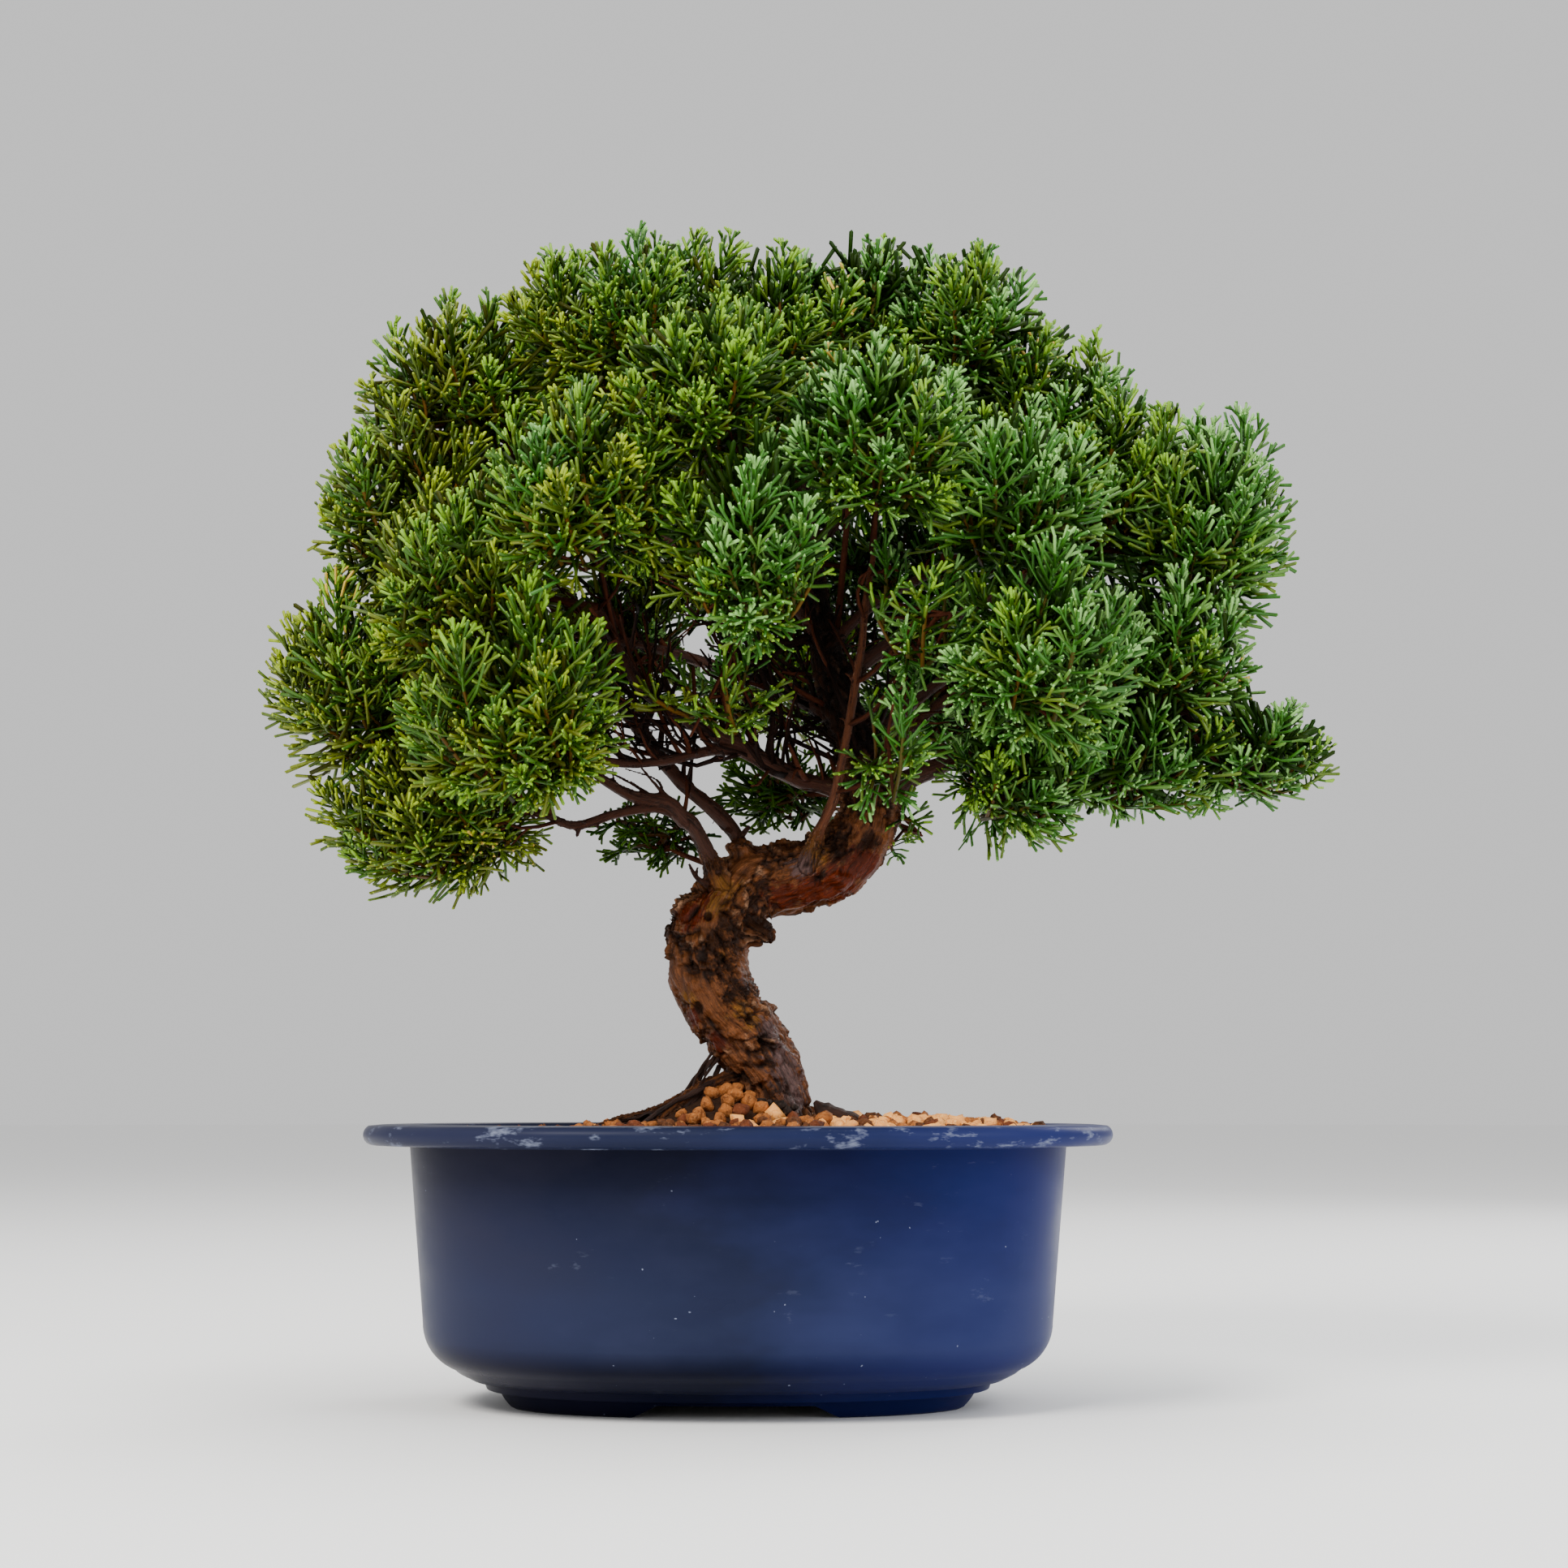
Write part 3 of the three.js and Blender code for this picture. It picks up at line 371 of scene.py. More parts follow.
TRUNK_TWIGS_FROM = 0.56  # share of the trunk's length from which fine twigs grow
FINE_TWIG_SPACING = 3.2
SHADED_TWIGS = 0.8  # share of the twigs in the hollow that are dark
INNER_CORDS = 240  # dark cords inside each mass
INNER_DEPTH = 0.86  # they end no farther out than this
# Slope of the place that a spray's tip reaches, and how steeply the spray grows there, in degrees
GROWTH = ((-90, -50, -22, 0, 45, 90), (-40, -6, 44, 64, 72, 88))
DROOPS_UNDER = 0.2  # a spray whose direction rises less than this droops


# Meshes and materials

def placed(points):
    """Points in the pot's millimetres, in the frame's metres."""
    return np.asarray(points, float) * MM + np.array(POT_MIDDLE)


def deselect():
    if bpy.context.mode != "OBJECT":
        bpy.ops.object.mode_set(mode="OBJECT")
    bpy.ops.object.select_all(action="DESELECT")


def apply_modifier(piece, kind, **settings):
    """Adds a modifier with these settings and applies it."""
    deselect()
    bpy.context.view_layer.objects.active = piece
    piece.select_set(True)
    modifier = piece.modifiers.new(kind.lower(), kind)
    for name, value in settings.items():
        setattr(modifier, name, value)
    bpy.ops.object.modifier_apply(modifier=modifier.name)


def join(pieces, name):
    """Joins pieces into the first one."""
    deselect()
    for piece in pieces:
        piece.select_set(True)
    bpy.context.view_layer.objects.active = pieces[0]
    bpy.ops.object.join()
    pieces[0].name = name
    return pieces[0]


def settle(piece):
    """Puts the piece's place, turn and size into its mesh."""
    deselect()
    piece.select_set(True)
    bpy.context.view_layer.objects.active = piece
    bpy.ops.object.transform_apply(location=True, rotation=True, scale=True)


def smooth(piece, angle=None):
    deselect()
    piece.select_set(True)
    bpy.context.view_layer.objects.active = piece
    if angle is None:
        bpy.ops.object.shade_smooth()
    else:
        bpy.ops.object.shade_smooth_by_angle(angle=math.radians(angle))


def dress(piece, material):
    """Gives the whole piece one material."""
    piece.data.materials.clear()
    piece.data.materials.append(material)


def hand_over(piece, nodes):
    """Hangs the piece on the body that it rides on and hides the parts of the model that it stands for."""
    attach(piece, BODY)
    if nodes:
        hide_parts(*nodes)


def mesh_from_arrays(name, points, faces, shades, materials):
    """One joined mesh of triangles, with the number of each face's material."""
    mesh = bpy.data.meshes.new(name)
    mesh.vertices.add(len(points))
    mesh.vertices.foreach_set("co", placed(points).astype(np.float32).ravel())
    mesh.loops.add(faces.size)
    mesh.loops.foreach_set("vertex_index", faces.astype(np.int32).ravel())
    mesh.polygons.add(len(faces))
    mesh.polygons.foreach_set("loop_start", np.arange(0, faces.size, 3, dtype=np.int32))
    mesh.polygons.foreach_set("material_index", np.asarray(shades, np.int32))
    mesh.polygons.foreach_set("use_smooth", np.ones(len(faces), bool))
    for material in materials:
        mesh.materials.append(material)
    mesh.update(calc_edges=True)
    mesh.validate()
    piece = bpy.data.objects.new(name, mesh)
    bpy.context.scene.collection.objects.link(piece)
    return piece


class Heap:
    """Collects small meshes that become one."""

    def __init__(self):
        self.points = []
        self.faces = []
        self.shades = []
        self.count = 0

    def add(self, points, faces, shades):
        self.points.append(points)
        self.faces.append(faces + self.count)
        self.shades.append(np.broadcast_to(shades, len(faces)))
        self.count += len(points)

    def piece(self, name, materials):
        return mesh_from_arrays(
            name,
            np.concatenate(self.points),
            np.concatenate(self.faces),
            np.concatenate(self.shades),
            materials,
        )


def srgb(r, g, b):
    """A colour given as the eye's 0 to 255, as linear RGBA."""
    def linear(v):
        v /= 255
        return v / 12.92 if v <= 0.04045 else ((v + 0.055) / 1.055) ** 2.4
    return (linear(r), linear(g), linear(b), 1.0)


SOCKETS = {"colour": "NodeSocketColor", "number": "NodeSocketFloat", "vector": "NodeSocketVector"}


def new_group(name, inputs, outputs):
    """A shader node group with named sockets. Returns it with its input and output nodes."""
    group = bpy.data.node_groups.new(name, "ShaderNodeTree")
    for label, (kind, value) in inputs.items():
        socket = group.interface.new_socket(label, in_out="INPUT", socket_type=SOCKETS[kind])
        if value is not None:
            socket.default_value = value
    for label, kind in outputs.items():
        group.interface.new_socket(label, in_out="OUTPUT", socket_type=SOCKETS[kind])
    return group, group.nodes.new("NodeGroupInput"), group.nodes.new("NodeGroupOutput")


def noise_node(tree, vector, scale, detail=3, roughness=0.55):
    node = tree.nodes.new("ShaderNodeTexNoise")
    node.inputs["Scale"].default_value = scale
    node.inputs["Detail"].default_value = detail
    node.inputs["Roughness"].default_value = roughness
    tree.links.new(vector, node.inputs["Vector"])
    return node.outputs["Fac"]


def stretched(tree, vector, by):
    node = tree.nodes.new("ShaderNodeVectorMath")
    node.operation = "MULTIPLY"
    node.inputs[1].default_value = by
    tree.links.new(vector, node.inputs[0])
    return node.outputs["Vector"]


def ranged(tree, value, low, high, to_low=0.0, to_high=1.0):
    """The value's share of the range from low to high, kept inside it."""
    node = tree.nodes.new("ShaderNodeMapRange")
    node.inputs["From Min"].default_value = low
    node.inputs["From Max"].default_value = high
    node.inputs["To Min"].default_value = to_low
    node.inputs["To Max"].default_value = to_high
    tree.links.new(value, node.inputs["Value"])
    return node.outputs["Result"]


def worked_out(tree, operation, a, b):
    """The result of a sum on two sockets or numbers."""
    node = tree.nodes.new("ShaderNodeMath")
    node.operation = operation
    for socket, value in zip(node.inputs, (a, b)):
        if isinstance(value, (int, float)):
            socket.default_value = value
        else:
            tree.links.new(value, socket)
    return node.outputs["Value"]


def plus(tree, a, b):
    return worked_out(tree, "ADD", a, b)


def less(tree, a, b):
    return worked_out(tree, "SUBTRACT", a, b)


def times(tree, a, b):
    return worked_out(tree, "MULTIPLY", a, b)


def larger(tree, a, b):
    return worked_out(tree, "MAXIMUM", a, b)


def mixed(tree, share, a, b, blend="MIX"):
    """Colour a towards colour b by a share."""
    node = tree.nodes.new("ShaderNodeMix")
    node.data_type = "RGBA"
    node.blend_type = blend
    for name, value in (("Factor_Float", share), ("A_Color", a), ("B_Color", b)):
        socket = next(s for s in node.inputs if s.identifier == name)
        if isinstance(value, (int, float, tuple)):
            socket.default_value = value
        else:
            tree.links.new(value, socket)
    return next(s for s in node.outputs if s.identifier == "Result_Color")


def linked_range(tree, value, start, end):
    """Where the value lies between two linked ends, as a node whose result goes from 0 to 1."""
    node = tree.nodes.new("ShaderNodeMapRange")
    tree.links.new(value, node.inputs["Value"])
    tree.links.new(start, node.inputs["From Min"])
    tree.links.new(end, node.inputs["From Max"])
    return node


def separated(tree, vector):
    """The X, Y and Z of a vector."""
    node = tree.nodes.new("ShaderNodeSeparateXYZ")
    tree.links.new(vector, node.inputs["Vector"])
    return node.outputs


def scaled(tree, colour, amount):
    """The colour, brighter or darker by an amount."""
    node = tree.nodes.new("ShaderNodeVectorMath")
    node.operation = "SCALE"
    tree.links.new(colour, node.inputs[0])
    tree.links.new(amount, node.inputs["Scale"])
    return node.outputs["Vector"]


def object_place(tree):
    return tree.nodes.new("ShaderNodeTexCoord").outputs["Object"]


def attribute(tree, name, output):
    node = tree.nodes.new("ShaderNodeAttribute")
    node.attribute_name = name
    return node.outputs[output]


def finish(name, group, inputs, bump_distance, roughness=None, bump_strength=1.0, **shader_values):
    """A material whose colour, roughness and bump come from a group. Each input is a colour, a number or
    a function that makes its link."""
    material = bpy.data.materials.new(name)
    material.use_nodes = True
    tree = material.node_tree
    shader = tree.nodes["Principled BSDF"]
    node = tree.nodes.new("ShaderNodeGroup")
    node.node_tree = group
    for label, value in inputs.items():
        if callable(value):
            tree.links.new(value(tree), node.inputs[label])
        else:
            node.inputs[label].default_value = value
    tree.links.new(node.outputs["Colour"], shader.inputs["Base Color"])
    if roughness is None:
        tree.links.new(node.outputs["Roughness"], shader.inputs["Roughness"])
    else:
        shader.inputs["Roughness"].default_value = roughness
    bump = tree.nodes.new("ShaderNodeBump")
    bump.inputs["Distance"].default_value = bump_distance
    bump.inputs["Strength"].default_value = bump_strength
    tree.links.new(node.outputs["Height"], bump.inputs["Height"])
    tree.links.new(bump.outputs["Normal"], shader.inputs["Normal"])
    for label, value in shader_values.items():
        shader.inputs[label.replace("_", " ")].default_value = value
    return material


# Shader groups

def bark_group():
    """Bark that follows the limb. Flakes, cracks and the marks of the trunk come as numbers stored on the
    mesh, and streaks along the grain, fibres and crumbs are added here. The grain runs along Z of its
    vector, in millimetres."""
    colours = ("Bark", "Warm", "Yellow", "Grey", "Dark", "Pale")
    group, given, put = new_group(
        "bark_surface",
        {
            "Grain": ("vector", None),
            "Warm": ("number", 0.0),
            "Yellow": ("number", 0.0),
            "Grey": ("number", 0.0),
            "Dark": ("number", 0.0),
            "Ridge": ("number", 0.5),
            "Flake": ("number", 0.5),
            "Crack": ("number", 0.0),
            "Shade From": ("number", 8.0),
            "Shade To": ("number", 9.0),
            **{name + " Colour": ("colour", None) for name in colours},
        },
        {"Colour": "colour", "Roughness": "number", "Height": "number"},
    )
    grain = given.outputs["Grain"]
    streaks = noise_node(group, stretched(group, grain, (1, 1, 0.16)), scale=0.9, detail=5, roughness=0.62)
    fibres = noise_node(group, stretched(group, grain, (1, 1, 0.12)), scale=3.0, detail=3, roughness=0.6)
    crumbs = noise_node(group, grain, scale=1.9, detail=4, roughness=0.65)
    blots = noise_node(group, stretched(group, grain, (1, 1, 0.4)), scale=0.8, detail=4, roughness=0.6)
    broken = ranged(group, blots, 0.3, 0.7, -0.45, 0.45)

    def patch(name):
        """A mark with a broken edge."""
        return ranged(group, plus(group, given.outputs[name], broken), 0.35, 0.6)

    colour = given.outputs["Bark Colour"]
    for name in ("Warm", "Yellow", "Grey"):
        colour = mixed(group, patch(name), colour, given.outputs[name + " Colour"])
    streak = ranged(group, streaks, 0.34, 0.52, 0.7, 0.0)
    colour = mixed(group, streak, colour, given.outputs["Dark Colour"])
    flake = ranged(group, given.outputs["Flake"], 0.15, 0.6, 0.75, -0.4)
    dark = plus(group, given.outputs["Dark"], flake)
    dark = ranged(group, plus(group, dark, times(group, broken, 0.9)), 0.4, 0.8, 0.0, 0.8)
    colour = mixed(group, dark, colour, given.outputs["Dark Colour"])
    chip = less(group, given.outputs["Flake"], times(group, given.outputs["Dark"], 0.12))
    pale = ranged(group, chip, 0.68, 0.86, 0.0, 0.8)
    pale = times(group, pale, ranged(group, crumbs, 0.38, 0.62, 0.3, 1.0))
    colour = mixed(group, pale, colour, given.outputs["Pale Colour"])
    deep = larger(group, given.outputs["Crack"], ranged(group, given.outputs["Ridge"], 0.1, 0.5, 0.8, 0.0))
    colour = mixed(group, deep, colour, given.outputs["Dark Colour"])
    tint = ranged(group, fibres, 0.3, 0.7, 0.6, 1.35)
    tint = times(group, tint, ranged(group, crumbs, 0.3, 0.7, 0.62, 1.3))
    # Painted shade: the colour darkens between two heights, for bark deep in the crown.
    height = separated(group, object_place(group))["Z"]
    painted_shade = linked_range(group, height, given.outputs["Shade From"], given.outputs["Shade To"])
    painted_shade.inputs["To Min"].default_value = 1.0
    painted_shade.inputs["To Max"].default_value = 0.22
    colour = scaled(group, colour, times(group, tint, painted_shade.outputs["Result"]))
    group.links.new(colour, put.inputs["Colour"])

    sheen = ranged(group, crumbs, 0.3, 0.7, 0.56, 0.3)
    sheen = less(group, sheen, times(group, patch("Grey"), 0.14))
    group.links.new(sheen, put.inputs["Roughness"])
    relief = plus(group, streaks, times(group, fibres, 0.4))
    relief = plus(group, relief, times(group, crumbs, times(group, given.outputs["Dark"], 0.9)))
    group.links.new(relief, put.inputs["Height"])
    return group


def leaf_group():
    """Scale leaves on a cord: a plain colour that varies a little, with fine overlapping scales."""
    group, given, put = new_group(
        "scale_leaves",
        {"Leaf Colour": ("colour", None), "Variation": ("number", 0.3)},
        {"Colour": "colour", "Height": "number"},
    )
    place = object_place(group)
    drift = ranged(group, noise_node(group, place, scale=140, detail=2), 0.3, 0.7, -0.5, 0.5)
    amount = plus(group, times(group, drift, given.outputs["Variation"]), 1.0)
    group.links.new(scaled(group, given.outputs["Leaf Colour"], amount), put.inputs["Colour"])
    scales = group.nodes.new("ShaderNodeTexVoronoi")
    scales.inputs["Scale"].default_value = 1100
    group.links.new(place, scales.inputs["Vector"])
    group.links.new(scales.outputs["Distance"], put.inputs["Height"])
    return group


def plastic_group():
    """Moulded plastic that has stood outdoors: faint turning lines, dull dusty patches, a greyer left end
    that is a painted broad reflection, a paler wall colour that is kept off under the lip and near the
    foot, which leaves painted shade there, the same paler colour laid over the rim as a painted highlight,
    a worn rim, small scuffs and specks."""
    group, given, put = new_group(
        "weathered_plastic",
        {
            "Plastic Colour": ("colour", None),
            "Dust Colour": ("colour", None),
            "Scuff Colour": ("colour", None),
            "Faded Colour": ("colour", None),
            "Haze Colour": ("colour", None),
            "Haze": ("number", 0.25),
            "Haze Foot": ("number", 0.03),
            "Haze Top": ("number", 0.07),
            "Dark Foot": ("number", 0.018),
            "Worn Above": ("number", 0.08),
            "Left End": ("number", -0.1),
            "Right End": ("number", 0.1),
            "Dust": ("number", 0.3),
            "Gloss": ("number", 0.4),
        },
        {"Colour": "colour", "Roughness": "number", "Height": "number"},
    )
    place = object_place(group)
    clouds = noise_node(group, stretched(group, place, (1, 1, 2.2)), scale=14, detail=4, roughness=0.6)
    lines = noise_node(group, stretched(group, place, (0.02, 0.02, 1)), scale=900, detail=2, roughness=0.6)
    scuffs = noise_node(group, stretched(group, place, (0.35, 0.35, 1)), scale=260, detail=4, roughness=0.7)
    where = noise_node(group, place, scale=34, detail=2)
    specks = noise_node(group, place, scale=700, detail=1, roughness=0.5)

    across, _, height = separated(group, place)
    share = linked_range(group, across, given.outputs["Left End"], given.outputs["Right End"])
    share = plus(group, share.outputs["Result"], ranged(group, clouds, 0.3, 0.7, -0.12, 0.12))
    faded = ranged(group, share, 0.45, 0.95)
    colour = mixed(group, faded, given.outputs["Plastic Colour"], given.outputs["Faded Colour"])
    dust = times(group, ranged(group, clouds, 0.42, 0.68), given.outputs["Dust"])
    # The dust colour also makes the left end greyer: a painted broad reflection, on top of the real dusty
    # patches.
    dust = larger(group, dust, ranged(group, share, 0.02, 0.4, 0.8, 0.0))
    colour = mixed(group, dust, colour, given.outputs["Dust Colour"])
    # Painted light and shade: the paler wall colour is kept off under the lip and near the foot, which stay
    # dark as painted shade, and is laid over the rim as a painted highlight.
    painted_light = linked_range(group, height, given.outputs["Haze Top"], given.outputs["Haze Foot"])
    foot = ranged(group, worked_out(group, "DIVIDE", height, given.outputs["Dark Foot"]), 0.7, 1.0)
    painted_light = times(group, painted_light.outputs["Result"], ranged(group, clouds, 0.3, 0.7, 0.75, 1.25))
    painted_light = times(group, painted_light, foot)
    high = worked_out(group, "GREATER_THAN", height, given.outputs["Worn Above"])
    painted_light = larger(group, painted_light, times(group, high, 0.75))
    painted_light = times(group, painted_light, given.outputs["Haze"])
    colour = mixed(group, painted_light, colour, given.outputs["Haze Colour"])
    scuff = times(group, ranged(group, scuffs, 0.63, 0.7), ranged(group, where, 0.52, 0.62))
    speck = times(group, ranged(group, specks, 0.8, 0.815), ranged(group, where, 0.45, 0.5))
    worn = times(group, high, ranged(group, scuffs, 0.57, 0.7, 0.0, 0.85))
    scuff = larger(group, times(group, scuff, 0.16), worn)
    marks = times(group, larger(group, scuff, speck), 0.6)
    colour = mixed(group, marks, colour, given.outputs["Scuff Colour"])
    group.links.new(colour, put.inputs["Colour"])
    rough = plus(group, given.outputs["Gloss"], ranged(group, clouds, 0.3, 0.7, -0.05, 0.14))
    rough = plus(group, rough, times(group, marks, 0.3))
    group.links.new(rough, put.inputs["Roughness"])
    relief = less(group, times(group, lines, 0.35), times(group, marks, 0.5))
    group.links.new(relief, put.inputs["Height"])
    return group


def granule_group():
    """Baked clay granules: a mottled, dusty colour with pits."""
    group, given, put = new_group(
        "clay_granule",
        {"Clay Colour": ("colour", None), "Dark Colour": ("colour", None), "Dust Colour": ("colour", None)},
        {"Colour": "colour", "Roughness": "number", "Height": "number"},
    )
    place = object_place(group)
    mottle = noise_node(group, place, scale=420, detail=4, roughness=0.65)
    grit = noise_node(group, place, scale=1700, detail=3, roughness=0.6)
    broad = noise_node(group, place, scale=90, detail=2)
    dark = given.outputs["Dark Colour"]
    colour = mixed(group, ranged(group, mottle, 0.36, 0.52, 0.8, 0.0), given.outputs["Clay Colour"], dark)
    colour = mixed(group, ranged(group, grit, 0.52, 0.7, 0.0, 0.55), colour, given.outputs["Dust Colour"])
    colour = mixed(group, ranged(group, broad, 0.3, 0.5, 0.4, 0.0), colour, dark)
    group.links.new(colour, put.inputs["Colour"])
    group.links.new(ranged(group, grit, 0.3, 0.7, 0.95, 0.7), put.inputs["Roughness"])
    group.links.new(plus(group, mottle, times(group, grit, 0.5)), put.inputs["Height"])
    return group


# Materials

BARK = bark_group()
LEAF = leaf_group()
PLASTIC = plastic_group()
CLAY = granule_group()

pot_plastic = finish(
    "navy_plastic",
    PLASTIC,
    {
        "Plastic Colour": srgb(0, 3, 26),
        "Faded Colour": srgb(14, 24, 84),
        "Dust Colour": srgb(34, 33, 48),
        "Scuff Colour": srgb(140, 148, 172),
        # The paler wall colour and its heights are painted light and shade: dark under the lip and at the
        # foot, paler on the rim.
        "Haze Colour": srgb(66, 74, 108),
        "Haze": 0.26,
        "Haze Foot": 0.034,
        "Haze Top": 0.075,
        "Dark Foot": 0.02,
        "Worn Above": 0.0745,
        "Left End": POT_MIDDLE.x - 0.1,
        "Right End": POT_MIDDLE.x + 0.1,
        "Dust": 0.25,
        "Gloss": 0.3,
    },
    bump_distance=0.0002,
    bump_strength=0.25,
    Specular_IOR_Level=0.05,
)


def clay(name, colour, dark, dust):
    inputs = {"Clay Colour": srgb(*colour), "Dark Colour": srgb(*dark), "Dust Colour": srgb(*dust)}
    return finish(name, CLAY, inputs, bump_distance=0.0004, Specular_IOR_Level=0.2)


granules = [
    clay("granule_orange", (160, 94, 42), (78, 38, 12), (204, 142, 86)),
    clay("granule_brown", (92, 52, 26), (40, 20, 8), (132, 88, 56)),
    clay("granule_tan", (255, 176, 92), (196, 112, 44), (255, 218, 158)),
    clay("granule_rust", (104, 52, 26), (58, 26, 12), (140, 86, 56)),
    clay("granule_char", (34, 23, 18), (10, 6, 4), (84, 66, 56)),
]
soil_ground = clay("soil_ground", (44, 24, 10), (22, 11, 5), (70, 40, 20))


BARK_NUMBERS = ("Warm", "Yellow", "Grey", "Dark", "Ridge", "Flake", "Crack")


def bark(name, colours, bump, shaded=None):
    """Bark of these colours. Where two heights are given, it is dark above the second of them, deep in the
    crown: painted shade.
    """
    inputs = {"Grain": lambda tree: attribute(tree, "grain", "Vector")}
    for label in BARK_NUMBERS:
        inputs[label] = lambda tree, label=label: attribute(tree, label.lower(), "Fac")
    inputs.update({label + " Colour": srgb(*colour) for label, colour in colours.items()})
    if shaded:
        inputs["Shade From"], inputs["Shade To"] = shaded
    return finish(name, BARK, inputs, bump_distance=bump, Specular_IOR_Level=0.15)


trunk_bark = bark(
    "trunk_bark",
    {
        "Bark": (112, 64, 32),
        "Warm": (88, 27, 0),
        "Yellow": (124, 78, 26),
        "Grey": (96, 72, 68),
        "Dark": (24, 9, 2),
        "Pale": (172, 128, 96),
    },
    0.0009,
    CROWN_SHADE,
)
bough_bark = bark(
    "bough_bark",
    {
        "Bark": (66, 36, 24),
        "Warm": (88, 44, 26),
        "Yellow": (100, 60, 36),
        "Grey": (80, 56, 50),
        "Dark": (24, 11, 7),
        "Pale": (98, 70, 58),
    },
    0.0004,
)
leader_bark = bark(
    "leader_bark",
    {
        "Bark": (104, 58, 34),
        "Warm": (96, 46, 24),
        "Yellow": (120, 76, 44),
        "Grey": (104, 76, 64),
        "Dark": (36, 15, 8),
        "Pale": (136, 96, 72),
    },
    0.0004,
)
root_bark = bark(
    "root_bark",
    {
        "Bark": (58, 36, 28),
        "Warm": (84, 48, 32),
        "Yellow": (96, 62, 44),
        "Grey": (84, 68, 64),
        "Dark": (24, 15, 13),
        "Pale": (100, 82, 72),
    },
    0.0003,
)


def twig(name, colour):
    inputs = {"Leaf Colour": srgb(*colour), "Variation": 0.8}
    return finish(name, LEAF, inputs, bump_distance=0.0002, roughness=0.8, Specular_IOR_Level=0.1)


twig_bark = twig("twig_bark", (62, 28, 13))
shaded_twig_bark = twig("shaded_twig_bark", (24, 9, 4))

# Scale leaves: the inner, stem, pale, middle and tip colour of each tone
LEAF_TONES = {
    "olive": ((50, 54, 0), (92, 62, 12), (98, 110, 4), (70, 92, 0), (142, 164, 14)),
    "green": ((28, 48, 0), (84, 60, 14), (84, 110, 14), (52, 92, 0), (120, 164, 30)),
    "cool": ((22, 48, 0), (66, 60, 18), (80, 124, 38), (46, 100, 12), (126, 176, 92)),
    # The deep tone is painted shade: darker copies of the leaf colours, for the masses that lie in shade.
    "deep": ((14, 34, 0), (52, 34, 10), (44, 72, 0), (30, 62, 0), (62, 100, 4)),
}
LEAF_PARTS = ("inner", "stem", "pale", "middle", "tip")
YELLOW_TIP = (196, 164, 62)
INNER, STEM, PALE, MIDDLE, TIP = range(5)
OLIVE, GREEN, COOL, PAINTED_SHADE_TONE = range(4)
YELLOW = len(LEAF_PARTS) * len(LEAF_TONES)


LEAF_GLOSS = 0.34
SHADED_GLOSS = 0.08


def leaf(name, colour, gloss=LEAF_GLOSS):
    inputs = {"Leaf Colour": srgb(*colour), "Variation": 0.35}
    return finish(
        name,
        LEAF,
        inputs,
        bump_distance=0.00015,
        roughness=0.42,
        bump_strength=0.5,
        Specular_IOR_Level=gloss,
    )


leaf_materials = []
for tone, colours in LEAF_TONES.items():
    for part, colour in zip(LEAF_PARTS, colours):
        gloss = SHADED_GLOSS if tone == "deep" or part in ("inner", "stem") else LEAF_GLOSS
        leaf_materials.append(leaf("leaf_" + tone + "_" + part, colour, gloss))
leaf_materials.append(leaf("leaf_yellow_tip", YELLOW_TIP))


# Pot

def half_depth(half_length):
    return half_length - NARROWER * min(1, half_length / STRAIGHT_FROM)


def arc(centre, radius, first, last, steps):
    """Points of an arc, with its angles in degrees."""
    angles = [math.radians(first + (last - first) * i / steps) for i in range(steps + 1)]
    return [(centre[0] + radius * math.cos(a), centre[1] + radius * math.sin(a)) for a in angles]


def add_oval(name, half_length, z):
    """The plan's outline at one half length: a Bezier circle with fuller handles, made a mesh."""
    deselect()
    bpy.ops.curve.primitive_bezier_circle_add(radius=1)
    outline = bpy.context.object
    for point in outline.data.splines[0].bezier_points:
        point.handle_left_type = "FREE"
        point.handle_right_type = "FREE"
        for side in ("handle_left", "handle_right"):
            arm = getattr(point, side) - point.co
            setattr(point, side, point.co + arm.normalized() * PLAN_HANDLE)
    outline.data.resolution_u = PLAN_STEPS
    bpy.ops.object.convert(target="MESH")
    outline.name = name
    outline.scale = (half_length * MM, half_depth(half_length) * MM, 1)
    outline.location.z = z * MM
    settle(outline)
    return outline


def extrude_rings(profile):
    """In edit mode, extrudes the selected ring through a profile of half length and height."""
    for (half, z), (next_half, next_z) in zip(profile, profile[1:]):
        bpy.ops.mesh.extrude_region_move(TRANSFORM_OT_translate={"value": (0, 0, (next_z - z) * MM)})
        wider = next_half / half
        deeper = half_depth(next_half) / half_depth(half)
        bpy.ops.transform.resize(value=(wider, deeper, 1), center_override=(0, 0, next_z * MM))


def oval_vessel(name, profile):
    """A closed body whose wall follows the profile, with a flat face at both ends."""
    vessel = add_oval(name, *profile[0])
    bpy.ops.object.mode_set(mode="EDIT")
    bpy.ops.mesh.select_all(action="SELECT")
    bpy.ops.mesh.edge_face_add()
    bpy.ops.mesh.select_all(action="DESELECT")
    bpy.ops.mesh.select_mode(type="EDGE")
    bpy.ops.mesh.select_all(action="SELECT")
    bpy.ops.mesh.region_to_loop()
    extrude_rings(profile)
    bpy.ops.mesh.edge_face_add()
    bpy.ops.mesh.select_all(action="SELECT")
    bpy.ops.mesh.normals_make_consistent(inside=False)
    bpy.ops.object.mode_set(mode="OBJECT")
    return vessel


def cut(piece, cutter):
    """Cuts the cutter's shape out of the piece and removes the cutter."""
    apply_modifier(piece, "BOOLEAN", operation="DIFFERENCE", object=cutter, solver="EXACT")
    bpy.data.objects.remove(cutter)


